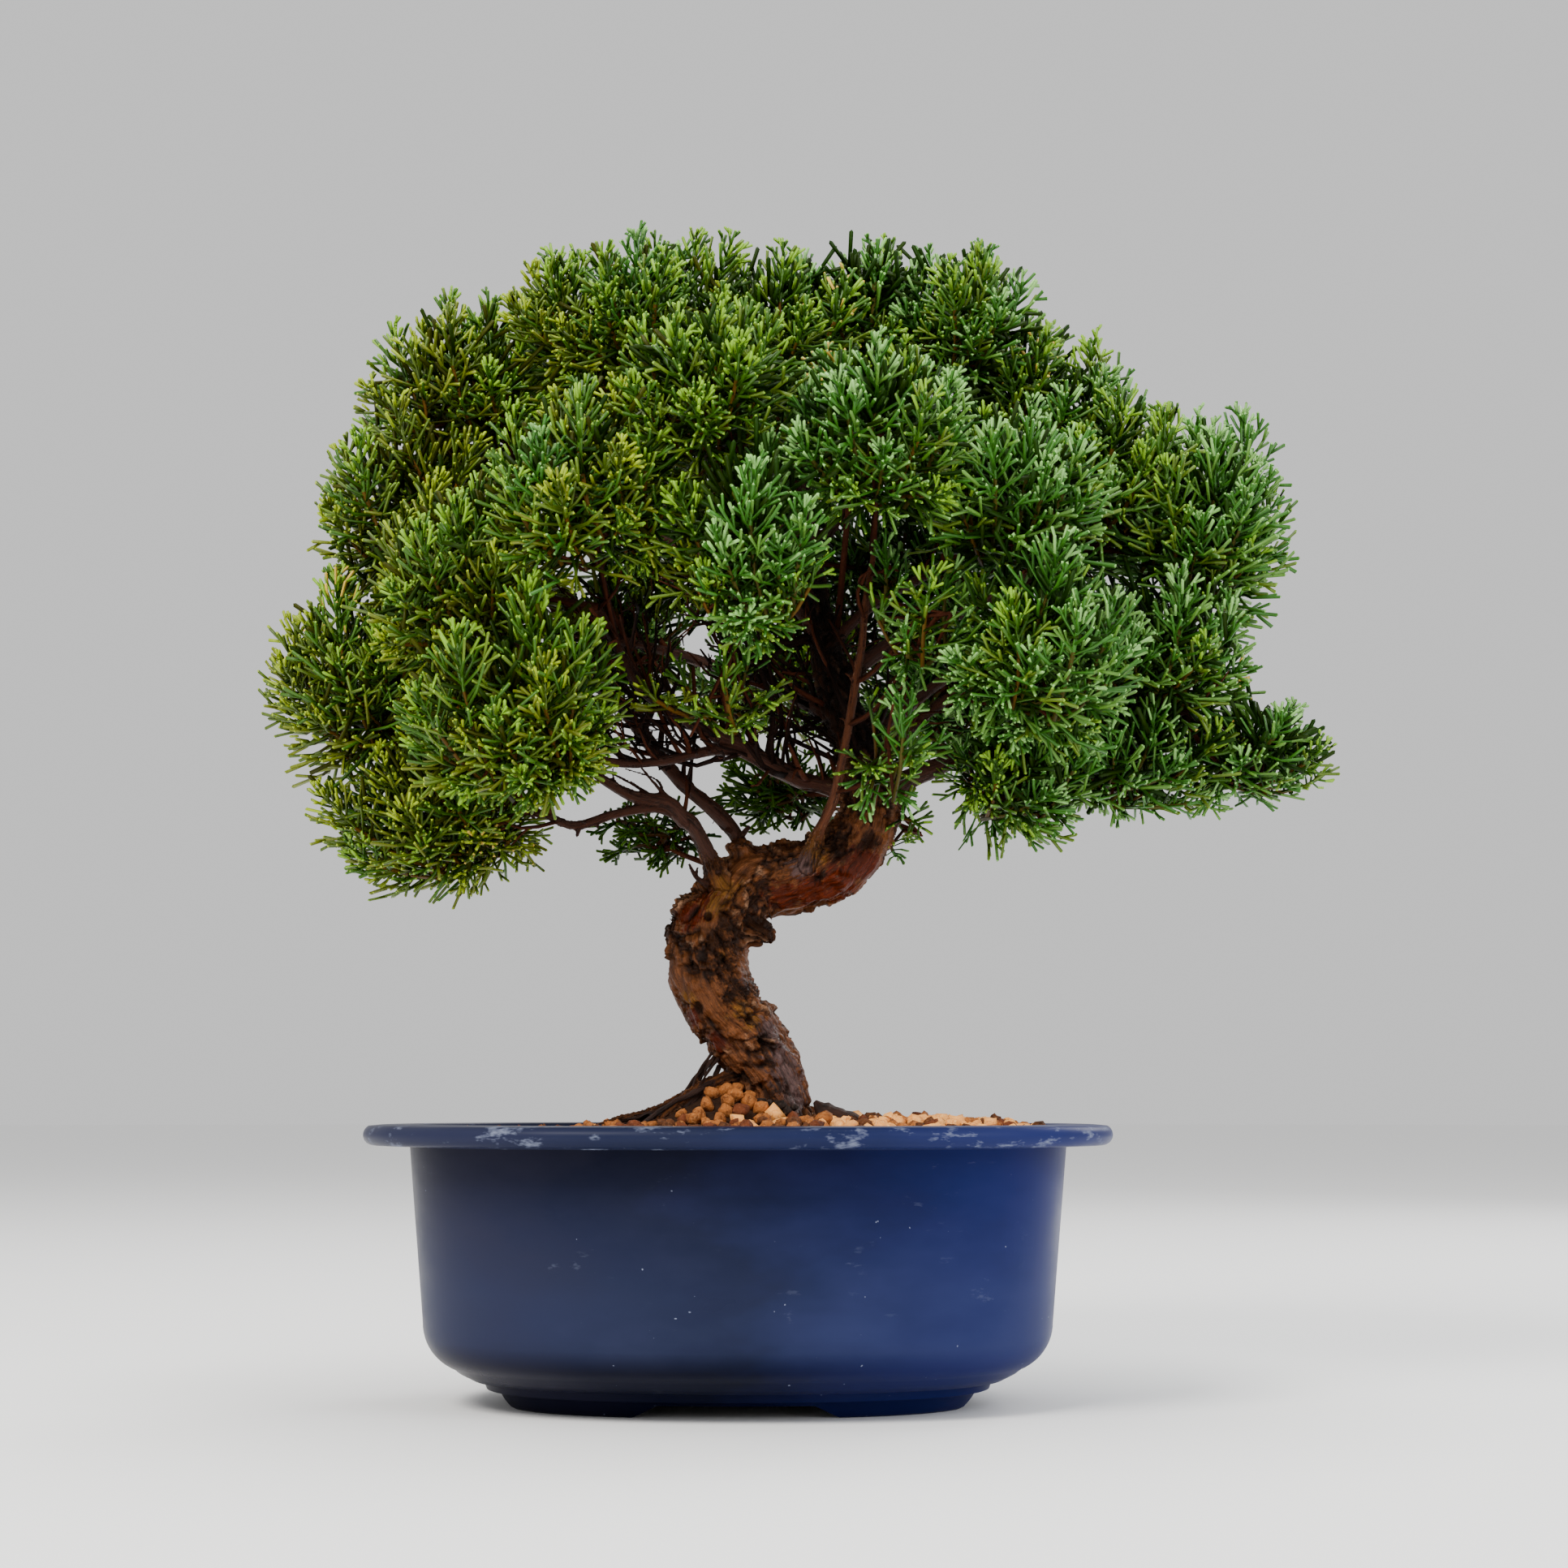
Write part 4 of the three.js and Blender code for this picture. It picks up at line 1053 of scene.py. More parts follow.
def foot_gap(axis, clear):
    """A bar with sloping sides that cuts the span between two feet right through the foot ring."""
    deselect()
    bpy.ops.mesh.primitive_cube_add(size=1)
    bar = bpy.context.object
    bar.scale = (2 * clear * MM, 0.2, (FOOT_HEIGHT + 1) * MM)
    bar.location.z = (FOOT_HEIGHT - 1) / 2 * MM
    settle(bar)
    bpy.ops.object.mode_set(mode="EDIT")
    bpy.ops.mesh.select_all(action="DESELECT")
    bpy.ops.object.mode_set(mode="OBJECT")
    for vertex in bar.data.vertices:
        vertex.select = vertex.co.z < 0
    bpy.ops.object.mode_set(mode="EDIT")
    bpy.ops.transform.resize(value=((clear + FOOT_SLOPE) / clear, 1, 1), center_override=(0, 0, 0))
    bpy.ops.object.mode_set(mode="OBJECT")
    if axis == "Y":
        bar.rotation_euler.z = math.radians(90)
        settle(bar)
    return bar


def make_pot():
    lip_half, lip_z = LIP_AT
    belly_half, belly_z = BELLY_AT
    inner_arc = arc(BELLY_AT, BELLY_RADIUS - WALL, first=0, last=-90, steps=8)
    # Half length and height: the foot ring, the wall up to the lip, and the inside down to the floor
    profile = [
        (61, FLOOR),
        (62, 3),
        (63, 0.6),
        (63.8, 0),
        (67.2, 0),
        (68.2, 0.7),
        (69.6, 4.2),
        (70.2, 4.7),
        (73.4, 5),
        (74.2, 7.2),
        (77.5, 7.6),
        (81.4, 9.6),
        *arc(BELLY_AT, BELLY_RADIUS, first=-68, last=0, steps=12),
        (93.4, 40),
        (95.2, 60),
        (BODY_TOP, lip_z - LIP_RADIUS),
        (lip_half - 2, lip_z - LIP_RADIUS),
        *arc(LIP_AT, LIP_RADIUS, first=-88, last=60, steps=12),
        (105.4, 80.9),
        (97.2, POT_TOP),
        (BODY_TOP - WALL + 1, POT_TOP - 0.3),
        (BODY_TOP - WALL, POT_TOP - 1.4),
        (BODY_TOP - WALL, lip_z - LIP_RADIUS),
        *inner_arc[:-1],
        (belly_half, FLOOR_TOP),
    ]
    pot = oval_vessel("oval_pot", profile)
    for axis, clear in FOOT_GAPS.items():
        cut(pot, foot_gap(axis, clear))
    for side in (-1, 1):
        deselect()
        bpy.ops.mesh.primitive_cylinder_add(
            vertices=32,
            radius=DRAIN_RADIUS * MM,
            depth=12 * MM,
            location=(side * DRAIN_FROM_MIDDLE * MM, 0, FLOOR * MM),
        )
        cut(pot, bpy.context.object)
    pot.location = POT_MIDDLE
    settle(pot)
    smooth(pot, angle=38)
    dress(pot, pot_plastic)
    hand_over(pot, ["pot"])


# Soil

def bell_at(x, y, middle, radius):
    """1 at the middle, and less and less round it."""
    return math.exp(-((math.hypot(x - middle[0], y - middle[1]) / radius) ** 2))


def soil_top(x, y):
    return (
        SOIL_LEVEL
        + SOIL_TILT * x
        + SOIL_DOME[0] * bell_at(x, y, TRUNK_ROUTE[0], SOIL_DOME[1])
        + MOUND[0] * bell_at(x, y, MOUND_AT, MOUND[1])
        + TAIL[0] * bell_at(x, y, TAIL_AT, TAIL[1])
    )


RIM_HALF = BODY_TOP - WALL - 0.1


def soil_height(x, y):
    """The soil's top, which settles to its edge along the rim."""
    out = math.hypot(x / RIM_HALF, y / half_depth(RIM_HALF))
    inside = max(0.0, 1 - out ** 8)
    return SOIL_EDGE + max(0.0, soil_top(x, y) - SOIL_EDGE) * inside


def make_soil():
    rings = [(RIM_HALF * share, SOIL_EDGE) for share in np.linspace(1, 0.04, 30)]
    ground = oval_vessel("soil_ground_bed", [(88, 30), (RIM_HALF - 0.6, 68), *rings])
    for vertex in ground.data.vertices:
        x, y, z = vertex.co / MM
        if z > SOIL_EDGE - 0.1:
            crumbs = noise.noise(Vector((x, y, 0)) * 0.4)
            near_mound = bell_at(x, y, MOUND_AT, MOUND_AROUND)
            vertex.co.z = (soil_height(x, y) - GRANULE_BED + 1.4 * near_mound + 0.5 * crumbs) * MM
    ground.location = POT_MIDDLE
    settle(ground)
    smooth(ground, angle=60)
    dress(ground, soil_ground)
    hand_over(ground, ["soil"])
    scatter_granules()


def granule_shapes(count, draw):
    """Models of a granule: a cube with each face cut in four, pulled towards a ball and knocked about."""
    shapes = []
    for _ in range(count):
        deselect()
        bpy.ops.mesh.primitive_cube_add(size=2)
        stone = bpy.context.object
        bpy.ops.object.mode_set(mode="EDIT")
        bpy.ops.mesh.select_all(action="SELECT")
        bpy.ops.mesh.subdivide(number_cuts=1)
        bpy.ops.transform.tosphere(value=0.62)
        bpy.ops.mesh.quads_convert_to_tris()
        bpy.ops.object.mode_set(mode="OBJECT")
        points = np.array([vertex.co for vertex in stone.data.vertices])
        knocks = np.array([[draw.uniform(0.78, 1.16)] for _ in points])
        points = points / np.abs(points).max() * knocks
        points *= (1, draw.uniform(0.72, 0.95), draw.uniform(0.62, 0.85))
        faces = np.array([face.vertices[:] for face in stone.data.polygons])
        shapes.append((points, faces))
        bpy.data.objects.remove(stone)
    return shapes


def turned(points, draw):
    """Points turned any way."""
    axis = Vector((draw.gauss(0, 1), draw.gauss(0, 1), draw.gauss(0, 1))).normalized()
    turn = np.array(Matrix.Rotation(draw.uniform(0, 2 * math.pi), 3, axis))
    return points @ turn.T


def granule_places(draw):
    """Where granules may lie: X, Y, radius, lift, and a kind for those that must be of one clay."""
    places = []
    for middle, spread, count, sizes, lift, kind in GRANULE_HEAPS:
        for _ in range(count):
            angle = draw.uniform(0, 2 * math.pi)
            out = math.sqrt(draw.random())
            x = middle[0] + spread[0] * out * math.cos(angle)
            y = middle[1] + spread[1] * out * math.sin(angle)
            places.append((x, y, draw.uniform(*sizes), draw.uniform(0, lift), kind))
    for row in range(-27, 28):
        for column in range(-19, 20):
            x = row * GRANULE_SPACING + draw.uniform(-1.5, 1.5)
            y = column * GRANULE_SPACING + draw.uniform(-1.5, 1.5)
            places.append((x, y, draw.uniform(1.5, 2.5), 0, None))
    return places


def granule_kind(x, y, kind, near_mound, draw):
    """Which clay a granule is of. A heap that is orange has some brown and rust ones."""
    if kind is None:
        pale = 0.08 + 1.2 * bell_at(x, y, *PALE_PATCH) + 0.9 * (x > PALE_RIGHT_OF)
        pale *= soil_height(x, y) < PALE_UNDER
        return draw.choices((ORANGE, BROWN, TAN, RUST), (0.4 + near_mound, 0.35, pale, 0.2))[0]
    if kind == ORANGE:
        return draw.choices((ORANGE, BROWN, RUST), (0.76, 0.12, 0.12))[0]
    return kind


def scatter_granules():
    """Granules lie all over the bed, larger on the mound, each with room of its own."""
    draw = random.Random(77)
    shapes = granule_shapes(GRANULE_MODELS, draw)
    heap = Heap()
    depth = half_depth(RIM_HALF)
    places = granule_places(draw)
    trunk_x, trunk_y = TRUNK_ROUTE[0][:2]
    laid = np.full((len(places), 4), 1e6)
    count = 0
    for x, y, size, lift, kind in places:
        out = (abs(x) / (RIM_HALF - size)) ** 2.4 + (abs(y) / (depth - size)) ** 2.4
        near_mound = bell_at(x, y, MOUND_AT, MOUND_AROUND)
        near_trunk = math.hypot(x - trunk_x, y - trunk_y) < TRUNK_CLEARANCE
        among_roots = math.hypot((x - ROOT_BED[0]) / ROOT_BED[2], (y - ROOT_BED[1]) / ROOT_BED[3]) < 1
        if out > 1 or near_trunk or (among_roots and draw.random() < 0.75):
            continue
        height = soil_height(x, y) - 0.8 + 0.6 * near_mound + draw.uniform(-0.4, 0.3) * size + lift
        place = np.array((x, y, height))
        apart = np.linalg.norm(laid[:count, :3] - place, axis=1)
        if (apart < GRANULE_ROOM * (laid[:count, 3] + size)).any():
            continue
        laid[count] = (*place, size)
        count += 1
        points, faces = shapes[draw.randrange(len(shapes))]
        clay_kind = granule_kind(x, y, kind, near_mound, draw)
        heap.add(turned(points * size, draw) + place, faces, clay_kind)
    stones = heap.piece("soil_granules", granules)
    hand_over(stones, [])


# Limbs

def smooth_line(route, step):
    """A centripetal Catmull-Rom curve through the route's rows, as points about a step apart."""
    rows = np.array(route, float)
    first = 2 * rows[0] - rows[1]
    last = 2 * rows[-1] - rows[-2]
    rows = np.vstack([first, rows, last])
    line = []
    for i in range(1, len(rows) - 2):
        a, b, c, d = rows[i - 1:i + 3]
        t0, t1, t2 = (max(1e-4, np.linalg.norm(q[:3] - p[:3]) ** 0.5) for p, q in ((a, b), (b, c), (c, d)))
        m1 = ((b - a) / t0 - (c - a) / (t0 + t1) + (c - b) / t1) * t1
        m2 = ((c - b) / t1 - (d - b) / (t1 + t2) + (d - c) / t2) * t1
        count = max(2, round(np.linalg.norm(c[:3] - b[:3]) / step))
        square = 3 * (c - b) - 2 * m1 - m2
        cube = 2 * (b - c) + m1 + m2
        for t in np.arange(count) / count:
            line.append(b + m1 * t + square * t ** 2 + cube * t ** 3)
    line.append(rows[-2])
    return np.array(line)


def places_along(line):
    """How far along the line each of its points lies."""
    steps = np.linalg.norm(np.diff(line[:, :3], axis=0), axis=1)
    return np.concatenate([[0], np.cumsum(steps)])


def tube_curve(name, line, sides):
    """A path with a round section, its radius given at each point, made a mesh."""
    deselect()
    bpy.ops.curve.primitive_nurbs_path_add()
    path = bpy.context.object
    path.name = name
    path.data.splines.clear()
    spline = path.data.splines.new("POLY")
    spline.points.add(len(line) - 1)
    for point, row in zip(spline.points, line):
        point.co = (*placed(row[:3]), 1)
        point.radius = row[3]
    path.data.bevel_depth = MM
    path.data.bevel_resolution = sides // 2 - 2
    path.data.use_fill_caps = True
    bpy.ops.object.convert(target="MESH")
    return path


def unit(vectors):
    return vectors / np.maximum(np.linalg.norm(vectors, axis=-1, keepdims=True), 1e-9)


def line_frames(line):
    """Tangents and two cross directions, carried along the line without twist."""
    tangents = unit(np.gradient(line[:, :3], axis=0))
    side = unit(np.cross(tangents[0], (0.2, 1.0, 0.1)))
    sides = []
    for tangent in tangents:
        side = unit(side - tangent * np.dot(side, tangent))
        sides.append(side)
    sides = np.array(sides)
    return tangents, sides, np.cross(tangents, sides)


GRAIN_RADIUS = 10.0  # the grain is laid out on a round of this radius
LINES_APART = 400.0  # along the grain, so that no two limbs have the same bark
POINTS_AT_ONCE = 20000  # as many as are worked out in one go, to save memory


def lay_grain(piece, lines, twist):
    """The piece's points, the grain at each, and the limb's radius there. The grain comes from the nearest
    line: how far along it a point lies and the angle round it."""
    count = len(piece.data.vertices)
    points = np.zeros(count * 3)
    piece.data.vertices.foreach_get("co", points)
    points = (points.reshape(-1, 3) - np.array(POT_MIDDLE)) / MM
    best = np.full(count, np.inf)
    along = np.zeros(count)
    angle = np.zeros(count)
    radius = np.zeros(count)
    start = 0.0
    for line in lines:
        places = start + places_along(line)
        tangents, sides, faces = line_frames(line)
        for first in range(0, count, POINTS_AT_ONCE):
            part = slice(first, min(count, first + POINTS_AT_ONCE))
            offsets = points[part, None, :] - line[None, :, :3]
            nearness = np.linalg.norm(offsets, axis=2) / line[None, :, 3]
            nearest = nearness.argmin(axis=1)
            rows = np.arange(len(nearest))
            value = nearness[rows, nearest]
            closer = value < best[part]
            offset = offsets[rows, nearest]
            turn = np.arctan2((offset * faces[nearest]).sum(1), (offset * sides[nearest]).sum(1))
            best[part] = np.where(closer, value, best[part])
            beyond = (offset * tangents[nearest]).sum(1)
            along[part] = np.where(closer, places[nearest] + beyond, along[part])
            angle[part] = np.where(closer, turn, angle[part])
            radius[part] = np.where(closer, line[nearest, 3], radius[part])
        start += LINES_APART
    turned_by = angle + twist * along
    grain = np.stack([GRAIN_RADIUS * np.cos(turned_by), GRAIN_RADIUS * np.sin(turned_by), along], axis=1)
    return points, grain, radius


def store(piece, name, kind, values):
    """Stores a number or a vector for each of the piece's points."""
    layer = piece.data.attributes.new(name, kind, "POINT")
    label = "vector" if kind == "FLOAT_VECTOR" else "value"
    layer.data.foreach_set(label, np.asarray(values, np.float32).ravel())


def noise_at(grain, across, along, seed):
    """Noise from -1 to 1 on the grain, with features of these sizes in millimetres."""
    scaled = grain / (across, across, along) + seed
    return np.array([noise.noise(Vector(p)) for p in scaled])


def flakes_at(grain, size, seed):
    """Flakes of bark this many millimetres wide: a number from 0 to 1 for each one, how near its edge is,
    and how far along it each point lies."""
    wobble = np.stack([noise_at(grain, size * 0.5, size * 0.7, seed + i) for i in range(3)], axis=1) * 0.22
    scaled = grain / (size, size, size * 1.5) + seed + wobble
    own = np.zeros(len(grain))
    edge = np.zeros(len(grain))
    along = np.zeros(len(grain))
    for i, place in enumerate(scaled):
        distances, middles = noise.voronoi(Vector(place))
        edge[i] = distances[1] - distances[0]
        middle = middles[0]
        own[i] = (math.sin(middle.x * 12.99 + middle.y * 78.23 + middle.z * 37.72) * 43758.5) % 1
        along[i] = place[2] - middle.z
    return own, edge, along


def near_line(points, line):
    """Distance of each point to a line of places."""
    nearest = np.full(len(points), np.inf)
    for a, b in zip(np.array(line[:-1], float), np.array(line[1:], float)):
        share = np.clip(((points - a) @ (b - a)) / ((b - a) @ (b - a)), 0, 1)
        nearest = np.minimum(nearest, np.linalg.norm(points - a - share[:, None] * (b - a), axis=1))
    return nearest


def marks_at(points, places):
    """How far each point lies inside the marks, from 0 to 1."""
    found = np.zeros(len(points))
    for x, y, z, radius in places:
        distance = np.linalg.norm(points - (x, y, z), axis=1)
        found = np.maximum(found, np.exp(-((distance / (radius * 1.25)) ** 2)))
    return found


def raise_bark(piece, lines, twist, height, rough, marks=None, holes=(), cracks=()):
    """Gives the bark its relief and stores the grain and what the colours need.
    Height is the relief's size in millimetres. Rough is how much of the limb flakes, from 0 to 1."""
    points, grain, radius = lay_grain(piece, lines, twist)
    strands = 1 - 2 * np.abs(noise_at(grain, across=5.2, along=42, seed=3.1))
    fine_strands = 1 - 2 * np.abs(noise_at(grain, across=2.1, along=17, seed=8.7))
    lumps = noise_at(grain, across=8.5, along=11, seed=1.3)
    small_lumps = noise_at(grain, across=3.2, along=4.4, seed=5.9)
    crumbs = noise_at(grain, across=1.5, along=1.8, seed=12.0)
    flaking = np.clip((noise_at(grain, across=10, along=14, seed=21.0) - 0.15 + 0.5 * rough) / 0.25, 0, 1)
    masks = {kind: marks_at(points, places) for kind, places in (marks or {}).items()}
    none = np.zeros(len(points))
    dark = masks.get("dark", none)
    smooth_wood = np.maximum(masks.get("warm", none), masks.get("grey", none))
    flaking = np.clip(flaking * (1 - 0.93 * smooth_wood) + 0.8 * dark, 0, 1)
    own, edge, along = flakes_at(grain, size=4.2, seed=44.0)
    small_own, small_edge, small_along = flakes_at(grain, size=1.9, seed=71.0)
    small_cracks = np.clip(0.8 - small_edge / 0.2, 0, 1) * (small_own > 0.4)
    crack = np.maximum(np.clip(1 - edge / 0.2, 0, 1), small_cracks) * flaking
    for line in cracks:
        wander = 0.8 * small_lumps
        crack = np.maximum(crack, np.clip(1.25 - np.abs(near_line(points, line) + wander) / 1.0, 0, 1))
    size = np.clip(radius / 11.5, 0.12, 1.1)
    rise = size * (1.1 * (strands - 0.6) + 1.0 * lumps + 0.45 * small_lumps + 0.4 * (fine_strands - 0.6))
    plates = (own - 0.5) * 1.1 - 1.1 * along + 0.4 * crumbs
    chips = (small_own - 0.5) * 0.7 - 0.6 * small_along
    rise += np.sqrt(size) * flaking * (plates + chips)
    rise += np.sqrt(size) * 0.5 * (1 - smooth_wood) * np.minimum(crumbs, 0.2)
    rise -= np.sqrt(size) * (crack * 1.1 + 0.15)
    for x, y, z, wide in holes:
        distance = np.linalg.norm(points - (x, y, z), axis=1)
        inside = np.exp(-((distance / wide) ** 4))
        rise -= 1.8 * inside
        dark = np.maximum(dark, inside * 1.4)
    ridge = np.clip(0.5 + 0.5 * (0.6 * strands + 0.4 * fine_strands + 0.4 * small_lumps - 0.4), 0, 1)
    normals = np.zeros(len(points) * 3)
    piece.data.vertices.foreach_get("normal", normals)
    moved = points + normals.reshape(-1, 3) * (rise * height)[:, None]
    piece.data.vertices.foreach_set("co", placed(moved).ravel())
    piece.data.update()
    store(piece, "grain", "FLOAT_VECTOR", grain)
    for kind in ("warm", "yellow", "grey"):
        store(piece, kind, "FLOAT", masks.get(kind, none))
    store(piece, "dark", "FLOAT", dark)
    store(piece, "ridge", "FLOAT", ridge)
    store(piece, "flake", "FLOAT", 0.5 + (0.6 * own + 0.4 * small_own - 0.5 - 0.3 * along) * flaking)
    store(piece, "crack", "FLOAT", crack)


def collar(route):
    """The foot of a bough in the trunk: wide where it leaves it, and narrower than the bough at its end."""
    line = smooth_line(route, step=1.5)
    places = places_along(line)
    foot = line[places <= COLLAR].copy()
    share = places[:len(foot)] / COLLAR
    foot[:, 3] *= (COLLAR_FLARE - share) * BOUGH_THICKNESS / COLLAR_FITTED
    return foot


def leaves_trunk(route):
    x, y, z = route[0][:3]
    return any(math.dist((x, y, z), row[:3]) < row[3] * 1.2 for row in smooth_line(TRUNK_ROUTE, step=2.0))


def melt_together(piece, detail, rounds):
    """Makes one skin of parts that run into each other, with faces of this size, and softens it."""
    apply_modifier(piece, "REMESH", mode="VOXEL", voxel_size=detail * MM, adaptivity=0.0)
    apply_modifier(piece, "SMOOTH", factor=0.5, iterations=rounds)


def make_trunk():
    lines = [smooth_line(route, step=2.0) for route in (TRUNK_ROUTE, *ROOTS)]
    lines += [collar(route) for route in BOUGHS.values() if leaves_trunk(route)]
    parts = [tube_curve("limb", line, sides=24) for line in lines]
    for (x, y, z), radii in KNOBS:
        deselect()
        bpy.ops.mesh.primitive_ico_sphere_add(subdivisions=3, radius=1)
        knob = bpy.context.object
        knob.scale = [r * MM for r in radii]
        knob.location = placed((x, y, z))
        settle(knob)
        parts.append(knob)
    trunk = join(parts, "trunk_bark_relief")
    melt_together(trunk, TRUNK_DETAIL, rounds=6)
    raise_bark(
        trunk,
        lines,
        twist=0.016,
        height=1.0,
        rough=0.9,
        marks=TRUNK_MARKS,
        holes=HOLES,
        cracks=CRACKS,
    )
    level_foot(trunk)
    smooth(trunk)
    dress(trunk, trunk_bark)
    hand_over(trunk, ["trunk"])


def make_hair_roots():
    draw = random.Random(61)
    routes = list(HAIR_ROOTS)
    for k in range(FAN_ROOTS):
        spread = (k + draw.random()) / FAN_ROOTS
        start = np.array((-6 + draw.uniform(-4, 3), -9 + draw.uniform(-4, 3), 92 + draw.uniform(-4, 2)))
        end = np.array((-13 - 29 * spread, -11 + draw.uniform(-9, 6), 81.5))
        middle = (start + end) / 2 + np.array((0, draw.uniform(-1.5, 1.5), draw.uniform(-3.5, -1)))
        thick = draw.uniform(0.5, 1.1)
        routes.append([(*start, thick), (*middle, thick * 0.9), (*end, thick * 0.6)])
    lines = []
    for index, route in enumerate(routes):
        line = smooth_line(route, step=1.0)
        for row in line:
            place = Vector((row[0] / 4, row[1] / 4, index * 5.3))
            row[0] += 0.7 * noise.noise(place)
            row[2] += 0.7 * noise.noise(place + Vector((9, 9, 9)))
            row[3] *= 1 + 0.35 * noise.noise(place * 2)
        lines.append(line)
    strands = join([tube_curve("strand", line, sides=8) for line in lines], "root_strands")
    raise_bark(strands, lines, twist=0.03, height=0.25, rough=0.5)
    smooth(strands)
    dress(strands, root_bark)
    hand_over(strands, [])


def level_foot(piece):
    """Flattens what reaches below the flat cut at the ground, under the soil's surface."""
    ground = TRUNK_ROUTE[0][2] * MM
    for vertex in piece.data.vertices:
        vertex.co.z = max(vertex.co.z, ground)


def stub(line, draw):
    """A short dead stub that leaves a limb at a random place."""
    i = draw.randrange(len(line) // 6, len(line) * 5 // 6)
    tangents, sides, faces = line_frames(line)
    angle = draw.uniform(0, 2 * math.pi)
    out = sides[i] * math.cos(angle) + faces[i] * math.sin(angle)
    radius = line[i, 3]
    length = draw.uniform(1.2, 3.4)
    lean = tangents[i] * draw.uniform(0.1, 0.7)
    root = line[i, :3] + out * radius * 0.3
    tip = line[i, :3] + unit(out + lean) * (radius + length)
    middle = (root + tip) / 2 + tangents[i] * 0.3
    thick = draw.uniform(0.35, 0.6)
    return np.array([(*root, thick * 1.6), (*middle, thick), (*tip, thick * 0.7)])


def make_bough(name, route, index):
    draw = random.Random(300 + index)
    line = smooth_line(route, step=1.1)
    places = places_along(line)
    burr = np.array([noise.noise(Vector((s / 7, index * 3.7, 0))) for s in places])
    line[:, 3] *= BOUGH_THICKNESS * (1 + 0.16 * burr)
    if not leaves_trunk(route):
        line[:, 3] *= 1 + 0.5 * np.exp(-((places / 6) ** 2))
    parts = [tube_curve("limb", line, sides=20)]
    lines = [line]
    for _ in range(max(2, round(places[-1] / 14))):
        lines.append(stub(line, draw))
    lines += [smooth_line(snag, step=0.8) for snag in SNAGS.get(name, [])]
    parts += [tube_curve("stub", side, sides=8) for side in lines[1:]]
    bough = join(parts, name + "_bark_relief")
    melt_together(bough, BOUGH_DETAIL, rounds=3)
    raise_bark(bough, lines, twist=0.02, height=0.55, rough=0.3)
    smooth(bough)
    dress(bough, leader_bark if name == "front_leader" else bough_bark)
    hand_over(bough, [name])


# Foliage

def cord_faces(rings):
    """The triangles of a three-sided cord with this many rings and a point at its end."""
    faces = [(0, 2, 1)]
    for i in range(rings - 1):
        for k in range(3):
            a = i * 3 + k
            b = i * 3 + (k + 1) % 3
            faces += [(a, b, b + 3), (a, b + 3, a + 3)]
    last = (rings - 1) * 3
    for k in range(3):
        faces.append((rings * 3, last + k, last + (k + 1) % 3))
    return np.array(faces)


CORD_FACES = {rings: cord_faces(rings) for rings in (2, 3, 4)}


def cord(points, radii, turn):
    """A closed three-sided cord through the points, flat where it starts and blunt at its end."""
    points = np.asarray(points, float)
    tangents = unit(np.gradient(points, axis=0))
    helper = np.where(np.abs(tangents[:, 2:]) > 0.9, (1.0, 0.2, 0.1), (0.15, 0.1, 1.0))
    side = unit(np.cross(tangents, helper))
    face = np.cross(tangents, side)
    radii = np.asarray(radii, float)
    corners = []
    for k in range(3):
        angle = turn + 2 * math.pi * k / 3
        corners.append(points + radii[:, None] * (math.cos(angle) * side + math.sin(angle) * face))
    rings = np.stack(corners, axis=1).reshape(-1, 3)
    end = points[-1] + tangents[-1] * radii[-1] * 0.8
    return np.vstack([rings, end]), CORD_FACES[len(points)]


def graded(*shades):
    """Shades of a cord's faces: one for each stretch between its rings, and one for its blunt end."""
    return np.repeat(shades, [7] + [6] * (len(shades) - 2) + [3])


def add_forks(heap, root, middle, tip, reach, shade, forking, draw):
    """Short cords that fork off a long one in its outer half."""
    if reach < 5:
        return
    count = draw.choice((0, 1, 1, 2) if reach < 10 else (1, 1, 2, 3))
    count = sum(draw.random() < forking for _ in range(count))
    onward = unit(tip - middle)
    across = unit(np.cross(onward, (0.1, 1.0, 0.1)))
    out = np.cross(onward, across)
    for k in range(count):
        step = 0.42 + 0.5 * (k + draw.random() * 0.7) / count
        start = middle + (tip - middle) * (2 * step - 1)
        if step < 0.5:
            start = root + (middle - root) * 2 * step
        flip = 1 if k % 2 else -1
        way = unit(onward + (across * flip + out * draw.uniform(-0.8, 0.8)) * draw.uniform(0.45, 0.8))
        size = min(reach * 0.45, draw.uniform(3.2, 8))
        thick = CORD_RADIUS * draw.uniform(0.86, 1.0)
        points, faces = cord([start, start + way * size], [thick * 0.85, thick], draw.uniform(0, 2))
        heap.add(points, faces, graded(shade, TIP))


GOLDEN_TURN = math.pi * (3 - math.sqrt(5))


def add_stubs(heap, length, axis_place, draw):
    """The dense head of a spray: short blunt tips round its axis."""
    for k in range(round(length * 0.32)):
        share = 0.68 + 0.31 * draw.random()
        azimuth = k * GOLDEN_TURN
        out = np.array((math.cos(azimuth), math.sin(azimuth), 0))
        away = (1.08 - share) * draw.uniform(4, 17)
        root = axis_place(share) + out * away
        lean = math.radians(draw.uniform(8, 46))
        way = math.sin(lean) * out + math.cos(lean) * np.array((0, 0, 1.0))
        thick = CORD_RADIUS * draw.uniform(0.9, 1.08)
        tip = root + way * draw.uniform(2.0, 3.8)
        points, faces = cord([root, tip], [thick * 0.8, thick], draw.uniform(0, 2))
        heap.add(points, faces, TIP if draw.random() < 0.7 else graded(PALE, TIP))


